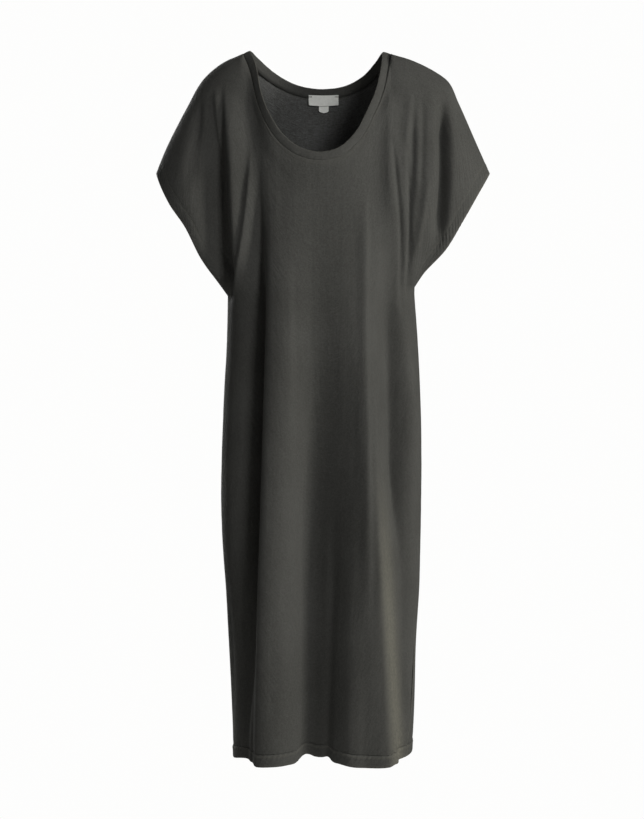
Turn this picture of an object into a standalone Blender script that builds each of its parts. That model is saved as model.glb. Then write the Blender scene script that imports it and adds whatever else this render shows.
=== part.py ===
"""Midi dress in garment-dyed cotton jersey, filled out as worn with no wearer.

Metres, +Z up, the front faces -Y. The origin lies midway between the two side neck points,
level with them. The dress is a front panel and a back panel, each with its two sleeve halves
cut on, joined along the shoulders, over the arms and down the sides, with a folded neckband
and a small bare label inside the back of the neck.
"""

import math

import bpy
import numpy as np

# Cloth and seams
WALL = 0.0016
SEAM_GAP = 0.0003
HEM_TURN = 0.020
HEM_EXTRA = 0.0007

# Neckline: the seam between panel and band, from the left neck point to the right one
FRONT_NECK = (
    # across, deep, height
    (-0.1328, 0.000, -0.0050),
    (-0.1185, -0.034, -0.0420),
    (-0.1100, -0.058, -0.0800),
    (-0.0945, -0.078, -0.1220),
    (-0.0720, -0.090, -0.1560),
    (-0.0400, -0.098, -0.1800),
    (-0.0020, -0.101, -0.1880),
    (0.0340, -0.099, -0.1790),
    (0.0620, -0.091, -0.1540),
    (0.0850, -0.078, -0.1130),
    (0.1020, -0.058, -0.0720),
    (0.1100, -0.034, -0.0360),
    (0.1153, 0.000, -0.0050),
)
BACK_NECK = (
    # across, deep, height
    (-0.1328, 0.000, -0.0050),
    (-0.1130, 0.030, -0.0230),
    (-0.0860, 0.050, -0.0440),
    (-0.0500, 0.065, -0.0620),
    (0.0000, 0.071, -0.0700),
    (0.0450, 0.066, -0.0640),
    (0.0770, 0.052, -0.0480),
    (0.0990, 0.032, -0.0260),
    (0.1153, 0.000, -0.0050),
)

# Neckband: a folded strip
BAND_WIDTH = 0.0138
BAND_THICK = 0.0026
BAND_ROOT = 0.0005
BAND_LIFT = 0.0005

# Labels inside the back of the neck
LABEL_LEFT = -0.0236
LABEL_TOP = -0.0655
LABEL_WIDE = 0.052
LABEL_TALL = 0.019
LABEL_THICK = 0.0009
TAB_LEFT = -0.0052
TAB_WIDE = 0.0165
TAB_TALL = 0.0125

# How square the body's sections are: 2 is an ellipse
SECTION_POWER = 2.3
# Section angle, from centre front, where the neck points' columns reach underarm level
NECK_ANGLE = 60.0
# How far in from the side, in degrees, the sleeve hem shapes the cloth
SLEEVE_REACH = 57.0
# How roundly the cloth turns from the shoulder down the body
ROUND_POWER = 1.9
# How far the upper back leans out for each unit down
BACK_LEAN = 0.1

COLUMNS_OVER_ARM = 9
COLUMNS_AT_NECK = 20
ROWS_ABOVE = 14
ROWS_BELOW = 15
# Rows lie closer together towards the shoulders
ROWS_CROWD = 1.35
# Steps used to find which way the cloth faces
STEP_DOWN = 0.02
STEP_OVER = 1.5

# Body sections: height, half width to the left and right, depth to the front and back
BODY = (
    # height, left, right, front, back
    (-0.410, 0.1590, 0.1560, 0.118, 0.104),
    (-0.490, 0.1610, 0.1620, 0.117, 0.101),
    (-0.590, 0.1665, 0.1665, 0.113, 0.102),
    (-0.695, 0.1703, 0.1686, 0.110, 0.108),
    (-0.800, 0.1706, 0.1675, 0.108, 0.112),
    (-0.900, 0.1645, 0.1658, 0.107, 0.112),
    (-1.000, 0.1595, 0.1600, 0.106, 0.110),
    (-1.100, 0.1550, 0.1580, 0.105, 0.108),
    (-1.200, 0.1515, 0.1545, 0.104, 0.106),
)

# Seam over each arm, from the neck point to the tip of the sleeve: across, height
OVER_ARM_LEFT = (
    # across, height
    (-0.1328, -0.0050),
    (-0.1667, -0.0200),
    (-0.1975, -0.0460),
    (-0.2276, -0.0966),
    (-0.2690, -0.1790),
    (-0.2785, -0.2040),
)
OVER_ARM_RIGHT = (
    # across, height
    (0.1153, -0.0050),
    (0.1465, -0.0140),
    (0.1869, -0.0330),
    (0.2110, -0.0500),
    (0.2290, -0.0860),
    (0.2590, -0.1530),
    (0.2820, -0.2040),
)

# Sleeve hems, from the tip of the sleeve to the underarm: across, height
SLEEVE_LEFT = (
    # across, height
    (-0.2785, -0.2040),
    (-0.2700, -0.2250),
    (-0.2540, -0.2560),
    (-0.2278, -0.2940),
    (-0.2012, -0.3476),
    (-0.1680, -0.3960),
    (-0.1590, -0.4100),
)
SLEEVE_RIGHT = (
    # across, height
    (0.2820, -0.2040),
    (0.2676, -0.2275),
    (0.2361, -0.2808),
    (0.2045, -0.3342),
    (0.1700, -0.3730),
    (0.1560, -0.3950),
)
# How far each sleeve's opening bows out, where it is deepest and how round it is
SLEEVE_BOW = {"front": 0.060, "back": 0.058}
SLEEVE_BOW_PLACE = 0.85
SLEEVE_BOW_ROUND = 0.65
# How quickly the hem's pull fades into the panel
SLEEVE_FADE = 1.5
# Fullness over the upper arm: how far out, at which section angle, and how wide in degrees
ARM_FULL = {"front": 0.013, "back": 0.024}
ARM_FULL_ANGLE = 68.0
ARM_FULL_SPREAD = 16.0
ARM_FULL_PLACE = 0.8

# Hem level at centre front and at the sides
HEM_LEVEL = -1.184
HEM_SIDE_DROP = 0.014
HEM_DROP_POWER = 4

# Right side seam comes forward near the hem, left one stays behind, in degrees
SEAM_TURN = (
    # height, left, right
    (-0.410, 0.0, 0.0),
    (-0.800, 0.0, 2.0),
    (-1.000, -3.0, 12.0),
    (-1.200, -6.0, 24.0),
)

# Folds as seen from the front: where a fold starts and ends, how far its middle sways across,
# how far it stands out (minus is a trough), how wide it is to its left and right, and how
# much of its length it takes to fade in at the top and out at the bottom
FOLD_COLUMNS = ("top_x", "top_z", "low_x", "low_z", "sway", "out", "left", "right", "fade_in", "fade_out")
FRONT_FOLDS = (
    # Long folds of the skirt
    (-0.082, -0.220, -0.100, -1.200, -0.002, 0.020, 0.012, 0.040, 0.70, 0.0),
    (0.000, -0.260, -0.014, -1.200, 0.000, -0.040, 0.037, 0.044, 0.80, 0.0),
    (0.058, -0.240, 0.048, -1.200, 0.000, 0.010, 0.026, 0.028, 0.70, 0.0),
    (0.074, -0.420, 0.102, -1.200, -0.002, 0.018, 0.026, 0.011, 0.60, 0.0),
    (0.136, -0.600, 0.141, -1.180, 0.000, -0.010, 0.012, 0.011, 0.35, 0.2),
    (-0.098, -0.150, -0.125, -1.200, 0.006, -0.030, 0.030, 0.0110, 0.28, 0.25),
    (0.117, -0.240, 0.122, -0.900, 0.000, -0.025, 0.024, 0.026, 0.35, 0.35),
    # Cloth held level between the neck and the arms
    (-0.117, -0.060, -0.114, -0.380, 0.000, 0.008, 0.016, 0.014, 0.15, 0.35),
    (0.108, -0.060, 0.114, -0.330, 0.000, 0.007, 0.014, 0.015, 0.15, 0.45),
    # Left shoulder to underarm
    (-0.170, -0.060, -0.157, -0.420, 0.000, -0.032, 0.030, 0.0100, 0.30, 0.12),
    (-0.204, -0.080, -0.232, -0.250, 0.004, -0.004, 0.012, 0.016, 0.35, 0.30),
    # Right shoulder to underarm
    (0.110, -0.240, 0.166, -0.780, 0.004, 0.012, 0.018, 0.010, 0.30, 0.35),
    (0.201, -0.060, 0.192, -0.350, 0.008, -0.024, 0.012, 0.0105, 0.30, 0.25),
)
BACK_FOLDS = (
    # Long folds of the skirt
    (-0.060, -0.260, -0.066, -1.200, 0.004, 0.030, 0.030, 0.026, 0.75, 0.0),
    (0.002, -0.340, 0.012, -1.200, -0.006, -0.040, 0.027, 0.025, 0.80, 0.0),
    (0.072, -0.230, 0.079, -1.200, 0.006, 0.029, 0.023, 0.032, 0.70, 0.0),
    (0.122, -0.300, 0.127, -1.200, 0.004, -0.018, 0.017, 0.015, 0.50, 0.0),
    (-0.116, -0.440, -0.120, -1.200, 0.000, -0.020, 0.020, 0.016, 0.55, 0.0),
    # Shoulders to underarms
    (-0.170, -0.060, -0.154, -0.390, 0.012, -0.021, 0.015, 0.013, 0.30, 0.15),
    (-0.205, -0.080, -0.213, -0.300, -0.006, -0.012, 0.014, 0.018, 0.35, 0.30),
    (-0.136, -0.090, -0.113, -0.350, 0.008, 0.010, 0.018, 0.016, 0.40, 0.40),
    (0.170, -0.060, 0.153, -0.390, -0.012, -0.022, 0.013, 0.015, 0.30, 0.15),
    (0.205, -0.080, 0.212, -0.300, 0.006, -0.013, 0.018, 0.014, 0.35, 0.30),
    (0.136, -0.090, 0.114, -0.340, -0.008, 0.010, 0.016, 0.018, 0.40, 0.40),
)

# Folds fade out towards the top edge, and within these degrees of the side seams
FOLDS_FADE_DOWN = 0.12
FOLDS_FADE_ASIDE = 14.0
# How much lower the skirt hangs where its folds stand out
FOLDS_HANG = 0.12

CLOTH_COLOUR = (0.058, 0.057, 0.051)
LABEL_COLOUR = (0.62, 0.63, 0.60)


def curve(knots, values, at):
    """Smooth curve through the rows of a table."""
    knots = np.asarray(knots, float)
    values = np.asarray(values, float)
    if knots[0] > knots[-1]:
        knots, values = knots[::-1], values[::-1]
    slopes = np.gradient(values, knots, axis=0)
    at = np.clip(at, knots[0], knots[-1])
    i = np.clip(np.searchsorted(knots, at) - 1, 0, len(knots) - 2)
    span = knots[i + 1] - knots[i]
    t = (at - knots[i]) / span
    if values.ndim > 1:
        span = span[..., None]
        t = t[..., None]
    start = (1 + 2 * t) * (1 - t) ** 2 * values[i] + t * (1 - t) ** 2 * span * slopes[i]
    end = t * t * (3 - 2 * t) * values[i + 1] - t * t * (1 - t) * span * slopes[i + 1]
    return start + end


def column(table, place):
    return [row[place] for row in table]


def along(points, fraction):
    """Point at a fraction of the length of a curve through the points."""
    points = np.asarray(points, float)
    steps = np.linalg.norm(np.diff(points, axis=0), axis=1)
    reach = np.concatenate(([0.0], np.cumsum(steps)))
    return curve(reach / reach[-1], points, np.asarray(fraction, float))


def unit(vector):
    return vector / np.maximum(np.linalg.norm(vector, axis=-1, keepdims=True), 1e-9)


def smooth(t):
    t = np.clip(t, 0.0, 1.0)
    return t * t * (3 - 2 * t)


def signed_power(value, power):
    return np.sign(value) * np.abs(value) ** power


def ring(side, angle, height):
    """Body section: the point at an angle from centre front (or centre back), at a height."""
    turn = np.radians(angle)
    left, right, front, back = (curve(column(BODY, 0), column(BODY, i), height) for i in range(1, 5))
    near, far = (front, back) if side == "front" else (back, front)
    wide = np.where(turn < 0, left, right)
    depth = np.where(np.abs(angle) > 90, far, near)
    x = wide * signed_power(np.sin(turn), 2 / SECTION_POWER)
    y = depth * signed_power(np.cos(turn), 2 / SECTION_POWER)
    return x, -y if side == "front" else y


def seam_angles(side, height):
    """Angles of the left and right side seams, seen from the panel's own centre line."""
    left = curve(column(SEAM_TURN, 0), column(SEAM_TURN, 1), height)
    right = curve(column(SEAM_TURN, 0), column(SEAM_TURN, 2), height)
    if side == "front":
        return -90.0 + left, 90.0 - right
    return -90.0 - left, 90.0 + right


def neck_edge(side, across):
    """Neckline seam; across runs from -1 at the left neck point to 1 at the right one."""
    return along(FRONT_NECK if side == "front" else BACK_NECK, (np.asarray(across, float) + 1) / 2)


def top_edge(side, angle):
    """Panel's top edge above the column that reaches underarm level at this angle."""
    angle = np.asarray(angle, float)
    arm = (np.abs(angle) - NECK_ANGLE) / (90.0 - NECK_ANGLE)
    edge = neck_edge(side, np.clip(angle / NECK_ANGLE, -1, 1))
    for sign, table in ((-1, OVER_ARM_LEFT), (1, OVER_ARM_RIGHT)):
        here = (arm > 0) & (angle * sign > 0)
        flat = along(table, np.clip(arm, 0, 1))
        over = np.stack([flat[..., 0], np.zeros_like(arm), flat[..., 1]], -1)
        edge = np.where(here[..., None], over, edge)
    return edge


def sleeve_edge(side, table, down):
    """Sleeve hem from its tip (down 0) to the underarm (down 1)."""
    flat = along(table, down)
    swell = np.abs(np.sin(math.pi * np.asarray(down, float) ** SLEEVE_BOW_PLACE))
    bow = SLEEVE_BOW[side] * swell**SLEEVE_BOW_ROUND
    return np.stack([flat[..., 0], -bow if side == "front" else bow, flat[..., 1]], -1)


def fold_depth(table, x, z):
    """How far all the folds of a panel move a point out, at its place seen from the front."""
    total = np.zeros_like(x)
    for row in table:
        fold = dict(zip(FOLD_COLUMNS, row))
        part = (z - fold["top_z"]) / (fold["low_z"] - fold["top_z"])
        held = np.clip(part, 0, 1)
        middle = fold["top_x"] + (fold["low_x"] - fold["top_x"]) * held
        middle = middle + fold["sway"] * np.sin(math.pi * held)
        aside = x - middle
        wide = np.where(aside < 0, fold["left"], fold["right"])
        fade = smooth(part / fold["fade_in"]) if fold["fade_in"] else np.ones_like(part)
        if fold["fade_out"]:
            fade = fade * smooth((1 - part) / fold["fade_out"])
        total = total + fold["out"] * fade * np.exp(-((aside / wide) ** 2))
    return total


def plain_surface(side, angle, down):
    """Outer face of a panel before its folds.

    The angle names a column by where it crosses underarm level. Down runs from 0 at the top
    edge, through 1 at underarm level, to 2 at the hem.
    """
    share = (angle + 90.0) / 180.0
    level = SLEEVE_LEFT[-1][1] + (SLEEVE_RIGHT[-1][1] - SLEEVE_LEFT[-1][1]) * share
    away = 1.0 if side == "back" else -1.0

    # Above underarm level: between the top edge, the sleeve hems and the body's section there
    t = np.clip(down, 0, 1)
    start = top_edge(side, angle)
    end_x, end_y = ring(side, angle, level)
    round_off = (1 - (1 - t) ** ROUND_POWER) ** (1 / ROUND_POWER)
    deepest = max(abs(row[1]) for row in (FRONT_NECK if side == "front" else BACK_NECK))
    straight = np.abs(start[..., 1]) / deepest
    bend = round_off + (t - round_off) * straight
    x = start[..., 0] + (end_x - start[..., 0]) * t
    y = start[..., 1] + (end_y - start[..., 1]) * bend
    z = start[..., 2] + (level - start[..., 2]) * t
    for sign, table in ((-1, SLEEVE_LEFT), (1, SLEEVE_RIGHT)):
        edge = sleeve_edge(side, table, t)
        tip, pit = np.array(table[0]), np.array(table[-1])
        near = np.clip(1 - (90.0 - sign * angle) / SLEEVE_REACH, 0, 1) ** SLEEVE_FADE
        x = x + near * (edge[..., 0] - (tip[0] + (pit[0] - tip[0]) * t))
        y = y + near * edge[..., 1]
        z = z + near * (edge[..., 2] - (tip[1] + (pit[1] - tip[1]) * t))
    over_arm = np.exp(-(((np.abs(angle) - ARM_FULL_ANGLE) / ARM_FULL_SPREAD) ** 2))
    full = over_arm * np.sin(math.pi * t**ARM_FULL_PLACE)
    y = y + away * ARM_FULL[side] * full

    # Below underarm level: body sections down to the hem
    v = np.clip(down - 1, 0, 1)
    hem = HEM_LEVEL - HEM_SIDE_DROP * np.abs(np.sin(np.radians(angle))) ** HEM_DROP_POWER
    low_z = level + (hem - level) * v
    left, right = seam_angles(side, low_z)
    low_x, low_y = ring(side, left + (right - left) * share, low_z)
    below = down > 1
    return np.stack(
        [np.where(below, low_x, x), np.where(below, low_y, y), np.where(below, low_z, z)], -1
    )


def surface(side, angle, down):
    """Outer face of a panel with its folds, which stand out square to the plain cloth."""
    angle, down = np.broadcast_arrays(np.asarray(angle, float), np.asarray(down, float))
    plain = plain_surface(side, angle, down)
    ahead = np.where(down > 2 - STEP_DOWN, -STEP_DOWN, STEP_DOWN)
    beside = np.where(angle > 90 - STEP_OVER, -STEP_OVER, STEP_OVER)
    run_down = (plain_surface(side, angle, down + ahead) - plain) * np.sign(ahead)[..., None]
    run_over = (plain_surface(side, angle + beside, down) - plain) * np.sign(beside)[..., None]
    face = unit(np.cross(run_down, run_over) if side == "front" else np.cross(run_over, run_down))
    out = fold_depth(FRONT_FOLDS if side == "front" else BACK_FOLDS, plain[..., 0], plain[..., 2])
    out = out * smooth(down / FOLDS_FADE_DOWN)
    out = out * smooth((90.0 - np.abs(angle)) / FOLDS_FADE_ASIDE)
    hang = np.zeros_like(plain)
    hang[..., 2] = -FOLDS_HANG * out * np.clip(down - 1, 0, 1)
    return plain + face * out[..., None] + hang


def column_angles():
    left = np.linspace(-90.0, -NECK_ANGLE, COLUMNS_OVER_ARM + 1)
    middle = np.linspace(-NECK_ANGLE, NECK_ANGLE, COLUMNS_AT_NECK + 1)
    right = np.linspace(NECK_ANGLE, 90.0, COLUMNS_OVER_ARM + 1)
    return np.concatenate((left, middle[1:-1], right))


def row_places():
    above = np.linspace(0, 1, ROWS_ABOVE + 1) ** ROWS_CROWD
    turned = 2 - HEM_TURN / (SLEEVE_LEFT[-1][1] - HEM_LEVEL)
    below = np.linspace(1, turned, ROWS_BELOW + 1)[1:]
    return np.concatenate((above, below, [turned + 0.002, 2.0]))


def neck_frames(side, angles):
    """Edge points of the whole neckline, the way out of the cloth, and the way on past its edge."""
    edge = surface(side, angles, 0.0)
    away = -1.0 if side == "front" else 1.0
    run = unit(np.gradient(edge, axis=0))
    run[0] = (0.0, away, 0.0)
    run[-1] = (0.0, -away, 0.0)
    down = surface(side, angles, FOLDS_FADE_DOWN) - edge
    for end, table in ((0, OVER_ARM_LEFT), (-1, OVER_ARM_RIGHT)):
        down[end] = (table[1][0] - table[0][0], 0.0, table[1][1] - table[0][1])
    for _ in range(3):
        down = unit(down - (down * run).sum(-1, keepdims=True) * run)
        down[1:-1] = down[:-2] + 2 * down[1:-1] + down[2:]
    down = unit(down - (down * run).sum(-1, keepdims=True) * run)
    return edge, unit(np.cross(run, down) * away), -down


def side_seam_run(sign, down):
    """Way from the front panel to the back one, level across a side seam."""
    front = surface("front", sign * 90.0, down) - surface("front", sign * 89.0, down)
    back = surface("back", sign * 89.0, down) - surface("back", sign * 90.0, down)
    return unit((front + back) * np.array([1.0, 1.0, 0.0]))


def panel_sheets(side):
    """Outer and inner points of a panel, a row for each height."""
    angles = column_angles()
    rows = row_places()
    away = -1.0 if side == "front" else 1.0
    outer = surface(side, angles[None, :], rows[:, None])
    across, down = np.gradient(outer, axis=1), np.gradient(outer, axis=0)
    out = unit(np.cross(across, down) * away)

    # Over the arms the two panels' edges face each other across the seam
    over_arm = np.abs(angles) >= NECK_ANGLE - 0.001
    for sleeve in (over_arm & (angles < 0), over_arm & (angles > 0)):
        run = np.gradient(outer[0][sleeve], axis=0)
        out[0][sleeve] = unit(np.stack([-run[:, 2], 0 * run[:, 1], run[:, 0]], -1))
    neck = np.abs(angles) <= NECK_ANGLE + 0.001
    out[0][neck] = neck_frames(side, angles[neck])[1]

    # Down the sides both panels share one way out of the cloth
    for place, sign in ((0, -1.0), (-1, 1.0)):
        for j in np.flatnonzero(rows >= 1):
            run = side_seam_run(sign, rows[j])
            out[j, place] = np.array([run[1], -run[0], 0.0]) * sign
            outer[j, place] += run * away * SEAM_GAP / 2

    # Turned hems are double, and stand a little proud
    proud = np.zeros(outer.shape[:2])
    proud[-2:] = HEM_EXTRA
    proud[1:ROWS_ABOVE, (0, -1)] = HEM_EXTRA
    inner = outer - out * WALL
    outer = outer + out * proud[..., None]
    for sheet in (outer, inner):
        sheet[0, over_arm, 1] = away * SEAM_GAP / 2
    return outer, inner


def cloth_material(name, colour, roughness):
    material = bpy.data.materials.new(name)
    material.use_nodes = True
    shader = material.node_tree.nodes["Principled BSDF"]
    shader.inputs["Base Color"].default_value = (*colour, 1.0)
    shader.inputs["Roughness"].default_value = roughness
    shader.inputs["Metallic"].default_value = 0.0
    return material


def add_solid(name, points, faces, material):
    mesh = bpy.data.meshes.new(name)
    mesh.from_pydata([tuple(map(float, p)) for p in points], [], faces)
    mesh.materials.append(material)
    mesh.validate()
    mesh.shade_smooth()
    mesh.set_sharp_from_angle(angle=math.radians(40))
    solid = bpy.data.objects.new(name, mesh)
    bpy.context.scene.collection.objects.link(solid)
    return solid


def walled_sheet(name, outer, inner, material, flip):
    """Closed wall between two sheets of points with the same rows and columns."""
    rows, columns = outer.shape[:2]
    points = np.concatenate((outer.reshape(-1, 3), inner.reshape(-1, 3)))
    inside = rows * columns
    faces = []
    for j in range(rows - 1):
        for i in range(columns - 1):
            a, b = j * columns + i, j * columns + i + 1
            c, d = b + columns, a + columns
            faces.append((a, d, c, b))
            faces.append((a + inside, b + inside, c + inside, d + inside))
    border = [i for i in range(columns)]
    border += [j * columns + columns - 1 for j in range(1, rows)]
    border += [(rows - 1) * columns + i for i in range(columns - 2, -1, -1)]
    border += [j * columns for j in range(rows - 2, 0, -1)]
    for a, b in zip(border, border[1:] + border[:1]):
        faces.append((a, b, b + inside, a + inside))
    if flip:
        faces = [face[::-1] for face in faces]
    return add_solid(name, points, faces, material)


def make_panel(side, material):
    outer, inner = panel_sheets(side)
    return walled_sheet(f"{side}_panel", outer, inner, material, side == "back")


def make_neckband(material):
    """Folded strip: its raw edges at the seam, its fold towards the neck, closed in a ring."""
    angles = column_angles()
    angles = angles[np.abs(angles) <= NECK_ANGLE + 0.001]
    front_edge, front_out, front_on = neck_frames("front", angles)
    back_edge, back_out, back_on = neck_frames("back", angles)
    edge = np.concatenate((front_edge, back_edge[-2:0:-1]))
    out = np.concatenate((front_out, back_out[-2:0:-1]))
    on = np.concatenate((front_on, back_on[-2:0:-1]))
    lift = BAND_LIFT
    fold = BAND_THICK / 2
    profile = (
        (BAND_ROOT, lift),
        (BAND_WIDTH - fold, lift),
        (BAND_WIDTH - fold * 0.3, lift - fold * 0.3),
        (BAND_WIDTH, lift - fold),
        (BAND_WIDTH - fold * 0.3, lift - fold * 1.7),
        (BAND_WIDTH - fold, lift - BAND_THICK),
        (BAND_ROOT, lift - BAND_THICK),
    )
    points = []
    for place, outward, onward in zip(edge, out, on):
        for reach, height in profile:
            points.append(place + onward * reach + outward * height)
    sides = len(profile)
    steps = len(edge)
    faces = []
    for k in range(steps):
        for i in range(sides):
            a = k * sides + i
            b = k * sides + (i + 1) % sides
            c = (k + 1) % steps * sides + (i + 1) % sides
            d = (k + 1) % steps * sides + i
            faces.append((a, d, c, b))
    return add_solid("neckband", points, faces, material)


def back_neck_place(across, below):
    """Point on the back's outer face at a place across, this far below the height of its seam."""
    edges = neck_edge("back", np.linspace(-0.6, 0.6, 121))
    place = np.array([np.interp(across, edges[:, 0], edges[:, i]) for i in range(3)])
    return place + np.array([0.0, BACK_LEAN, -1.0]) * below


def make_label(name, left, wide, top, tall, material):
    """Woven label that follows the inside of the back's neck."""
    near = BAND_THICK - BAND_LIFT + SEAM_GAP
    rows = []
    for j in range(3):
        row = []
        for i in range(9):
            across = left + wide * i / 8
            middle = back_neck_place(across, 0.0)
            row.append(back_neck_place(across, middle[2] - top + tall * j / 2))
        rows.append(row)
    skin = np.array(rows) - np.array([0.0, near, 0.0])
    return walled_sheet(name, skin - np.array([0.0, LABEL_THICK, 0.0]), skin, material, False)


for old in list(bpy.data.objects):
    bpy.data.objects.remove(old)

make_panel("front", cloth_material("front_jersey", CLOTH_COLOUR, 0.9))
make_panel("back", cloth_material("back_jersey", CLOTH_COLOUR, 0.9))
make_neckband(cloth_material("neckband_jersey", CLOTH_COLOUR, 0.9))
label_weave = cloth_material("label_weave", LABEL_COLOUR, 0.7)
tab_weave = cloth_material("tab_weave", LABEL_COLOUR, 0.7)
make_label("neck_label", LABEL_LEFT, LABEL_WIDE, LABEL_TOP, LABEL_TALL, label_weave)
make_label("size_tab", TAB_LEFT, TAB_WIDE, LABEL_TOP - LABEL_TALL - SEAM_GAP, TAB_TALL, tab_weave)
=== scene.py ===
import math
from functools import partial

import bpy
import numpy as np
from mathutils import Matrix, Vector


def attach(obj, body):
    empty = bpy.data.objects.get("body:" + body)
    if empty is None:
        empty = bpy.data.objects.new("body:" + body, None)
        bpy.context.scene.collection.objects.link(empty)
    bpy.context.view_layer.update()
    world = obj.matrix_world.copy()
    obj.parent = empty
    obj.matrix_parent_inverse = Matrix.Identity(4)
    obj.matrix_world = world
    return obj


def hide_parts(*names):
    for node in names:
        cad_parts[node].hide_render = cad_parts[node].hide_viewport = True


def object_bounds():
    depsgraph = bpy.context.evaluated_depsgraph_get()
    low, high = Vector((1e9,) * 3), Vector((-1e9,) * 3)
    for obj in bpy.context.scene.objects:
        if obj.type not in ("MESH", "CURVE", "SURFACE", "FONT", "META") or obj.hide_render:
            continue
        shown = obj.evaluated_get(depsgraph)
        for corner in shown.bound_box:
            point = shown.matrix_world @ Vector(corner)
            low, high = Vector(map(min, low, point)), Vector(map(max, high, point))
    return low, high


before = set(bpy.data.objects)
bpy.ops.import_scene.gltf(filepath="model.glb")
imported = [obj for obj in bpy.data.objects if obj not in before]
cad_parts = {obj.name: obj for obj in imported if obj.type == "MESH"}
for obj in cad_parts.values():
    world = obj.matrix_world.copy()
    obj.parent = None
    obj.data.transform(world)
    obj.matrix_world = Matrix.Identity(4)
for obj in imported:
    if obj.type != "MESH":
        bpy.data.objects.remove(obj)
cad_low, cad_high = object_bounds()


# Front panel and back panel
# Each panel is cut in one with its two sleeve halves from garment-dyed cotton slub jersey, and
# the two are joined over the arms and down the sides. Filled out as worn, the cloth hangs from
# the shoulders in long soft folds that deepen towards the hem and gather under the arms.

CLOTH = 0.0008
HEM_TURN = 0.020
# The way out of each panel, along the depth of the dress
AWAY = {"front": -1.0, "back": 1.0}

FRONT_NECK = (
    # across, deep, height
    (-0.1328, 0.000, -0.0050),
    (-0.1185, -0.034, -0.0420),
    (-0.1100, -0.058, -0.0800),
    (-0.0945, -0.078, -0.1220),
    (-0.0720, -0.090, -0.1560),
    (-0.0400, -0.098, -0.1800),
    (-0.0020, -0.101, -0.1880),
    (0.0340, -0.099, -0.1790),
    (0.0620, -0.091, -0.1540),
    (0.0850, -0.078, -0.1130),
    (0.1020, -0.058, -0.0720),
    (0.1100, -0.034, -0.0360),
    (0.1153, 0.000, -0.0050),
)
BACK_NECK = (
    # across, deep, height
    (-0.1328, 0.000, -0.0050),
    (-0.1130, 0.030, -0.0230),
    (-0.0860, 0.050, -0.0440),
    (-0.0500, 0.065, -0.0620),
    (0.0000, 0.071, -0.0700),
    (0.0450, 0.066, -0.0640),
    (0.0770, 0.052, -0.0480),
    (0.0990, 0.032, -0.0260),
    (0.1153, 0.000, -0.0050),
)
NECK = {"front": FRONT_NECK, "back": BACK_NECK}

# How square the body's sections are, and the section angle below the neck points
SECTION_POWER = 2.3
NECK_ANGLE = 60.0
# How far in from the side, in degrees, the sleeve hem shapes the cloth
SLEEVE_REACH = 57.0
SLEEVE_FADE = 1.5
ROUND_POWER = 1.9

BODY = (
    # height, left, right, front, back
    (-0.410, 0.1590, 0.1560, 0.118, 0.104),
    (-0.490, 0.1610, 0.1620, 0.117, 0.101),
    (-0.590, 0.1665, 0.1665, 0.113, 0.102),
    (-0.695, 0.1703, 0.1686, 0.110, 0.108),
    (-0.800, 0.1706, 0.1675, 0.108, 0.112),
    (-0.900, 0.1645, 0.1658, 0.107, 0.112),
    (-1.000, 0.1595, 0.1600, 0.106, 0.110),
    (-1.100, 0.1550, 0.1580, 0.105, 0.108),
    (-1.200, 0.1515, 0.1545, 0.104, 0.106),
)
OVER_ARM_LEFT = (
    # across, height
    (-0.1328, -0.0050),
    (-0.1667, -0.0200),
    (-0.1975, -0.0460),
    (-0.2276, -0.0966),
    (-0.2690, -0.1790),
    (-0.2785, -0.2040),
)
OVER_ARM_RIGHT = (
    # across, height
    (0.1153, -0.0050),
    (0.1465, -0.0140),
    (0.1869, -0.0330),
    (0.2110, -0.0500),
    (0.2290, -0.0860),
    (0.2590, -0.1530),
    (0.2820, -0.2040),
)
SLEEVE_LEFT = (
    # across, height
    (-0.2785, -0.2040),
    (-0.2700, -0.2250),
    (-0.2540, -0.2560),
    (-0.2278, -0.2940),
    (-0.2012, -0.3476),
    (-0.1680, -0.3960),
    (-0.1590, -0.4100),
)
SLEEVE_RIGHT = (
    # across, height
    (0.2820, -0.2040),
    (0.2676, -0.2275),
    (0.2361, -0.2808),
    (0.2045, -0.3342),
    (0.1700, -0.3730),
    (0.1560, -0.3950),
)
# How far a sleeve's hem bows out in front and behind, and the form of that bow
SLEEVE_BOW = {"front": 0.060, "back": 0.058}
SLEEVE_BOW_PLACE = 0.85
SLEEVE_BOW_ROUND = 0.65
# How full the cloth is over the arms, and where
ARM_FULL = {"front": 0.013, "back": 0.024}
ARM_FULL_ANGLE = 68.0
ARM_FULL_SPREAD = 16.0
ARM_FULL_PLACE = 0.8
# The hem's height, and how much lower it hangs at the sides
HEM_LEVEL = -1.184
SKIRT_TALL = SLEEVE_LEFT[-1][1] - HEM_LEVEL
HEM_SIDE_DROP = 0.014
HEM_DROP_POWER = 4
# How far the side seams turn to the front, in degrees
SEAM_TURN = (
    # height, left, right
    (-0.410, 0.0, 0.0),
    (-0.800, 0.0, 2.0),
    (-1.000, -3.0, 12.0),
    (-1.200, -6.0, 24.0),
)

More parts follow.
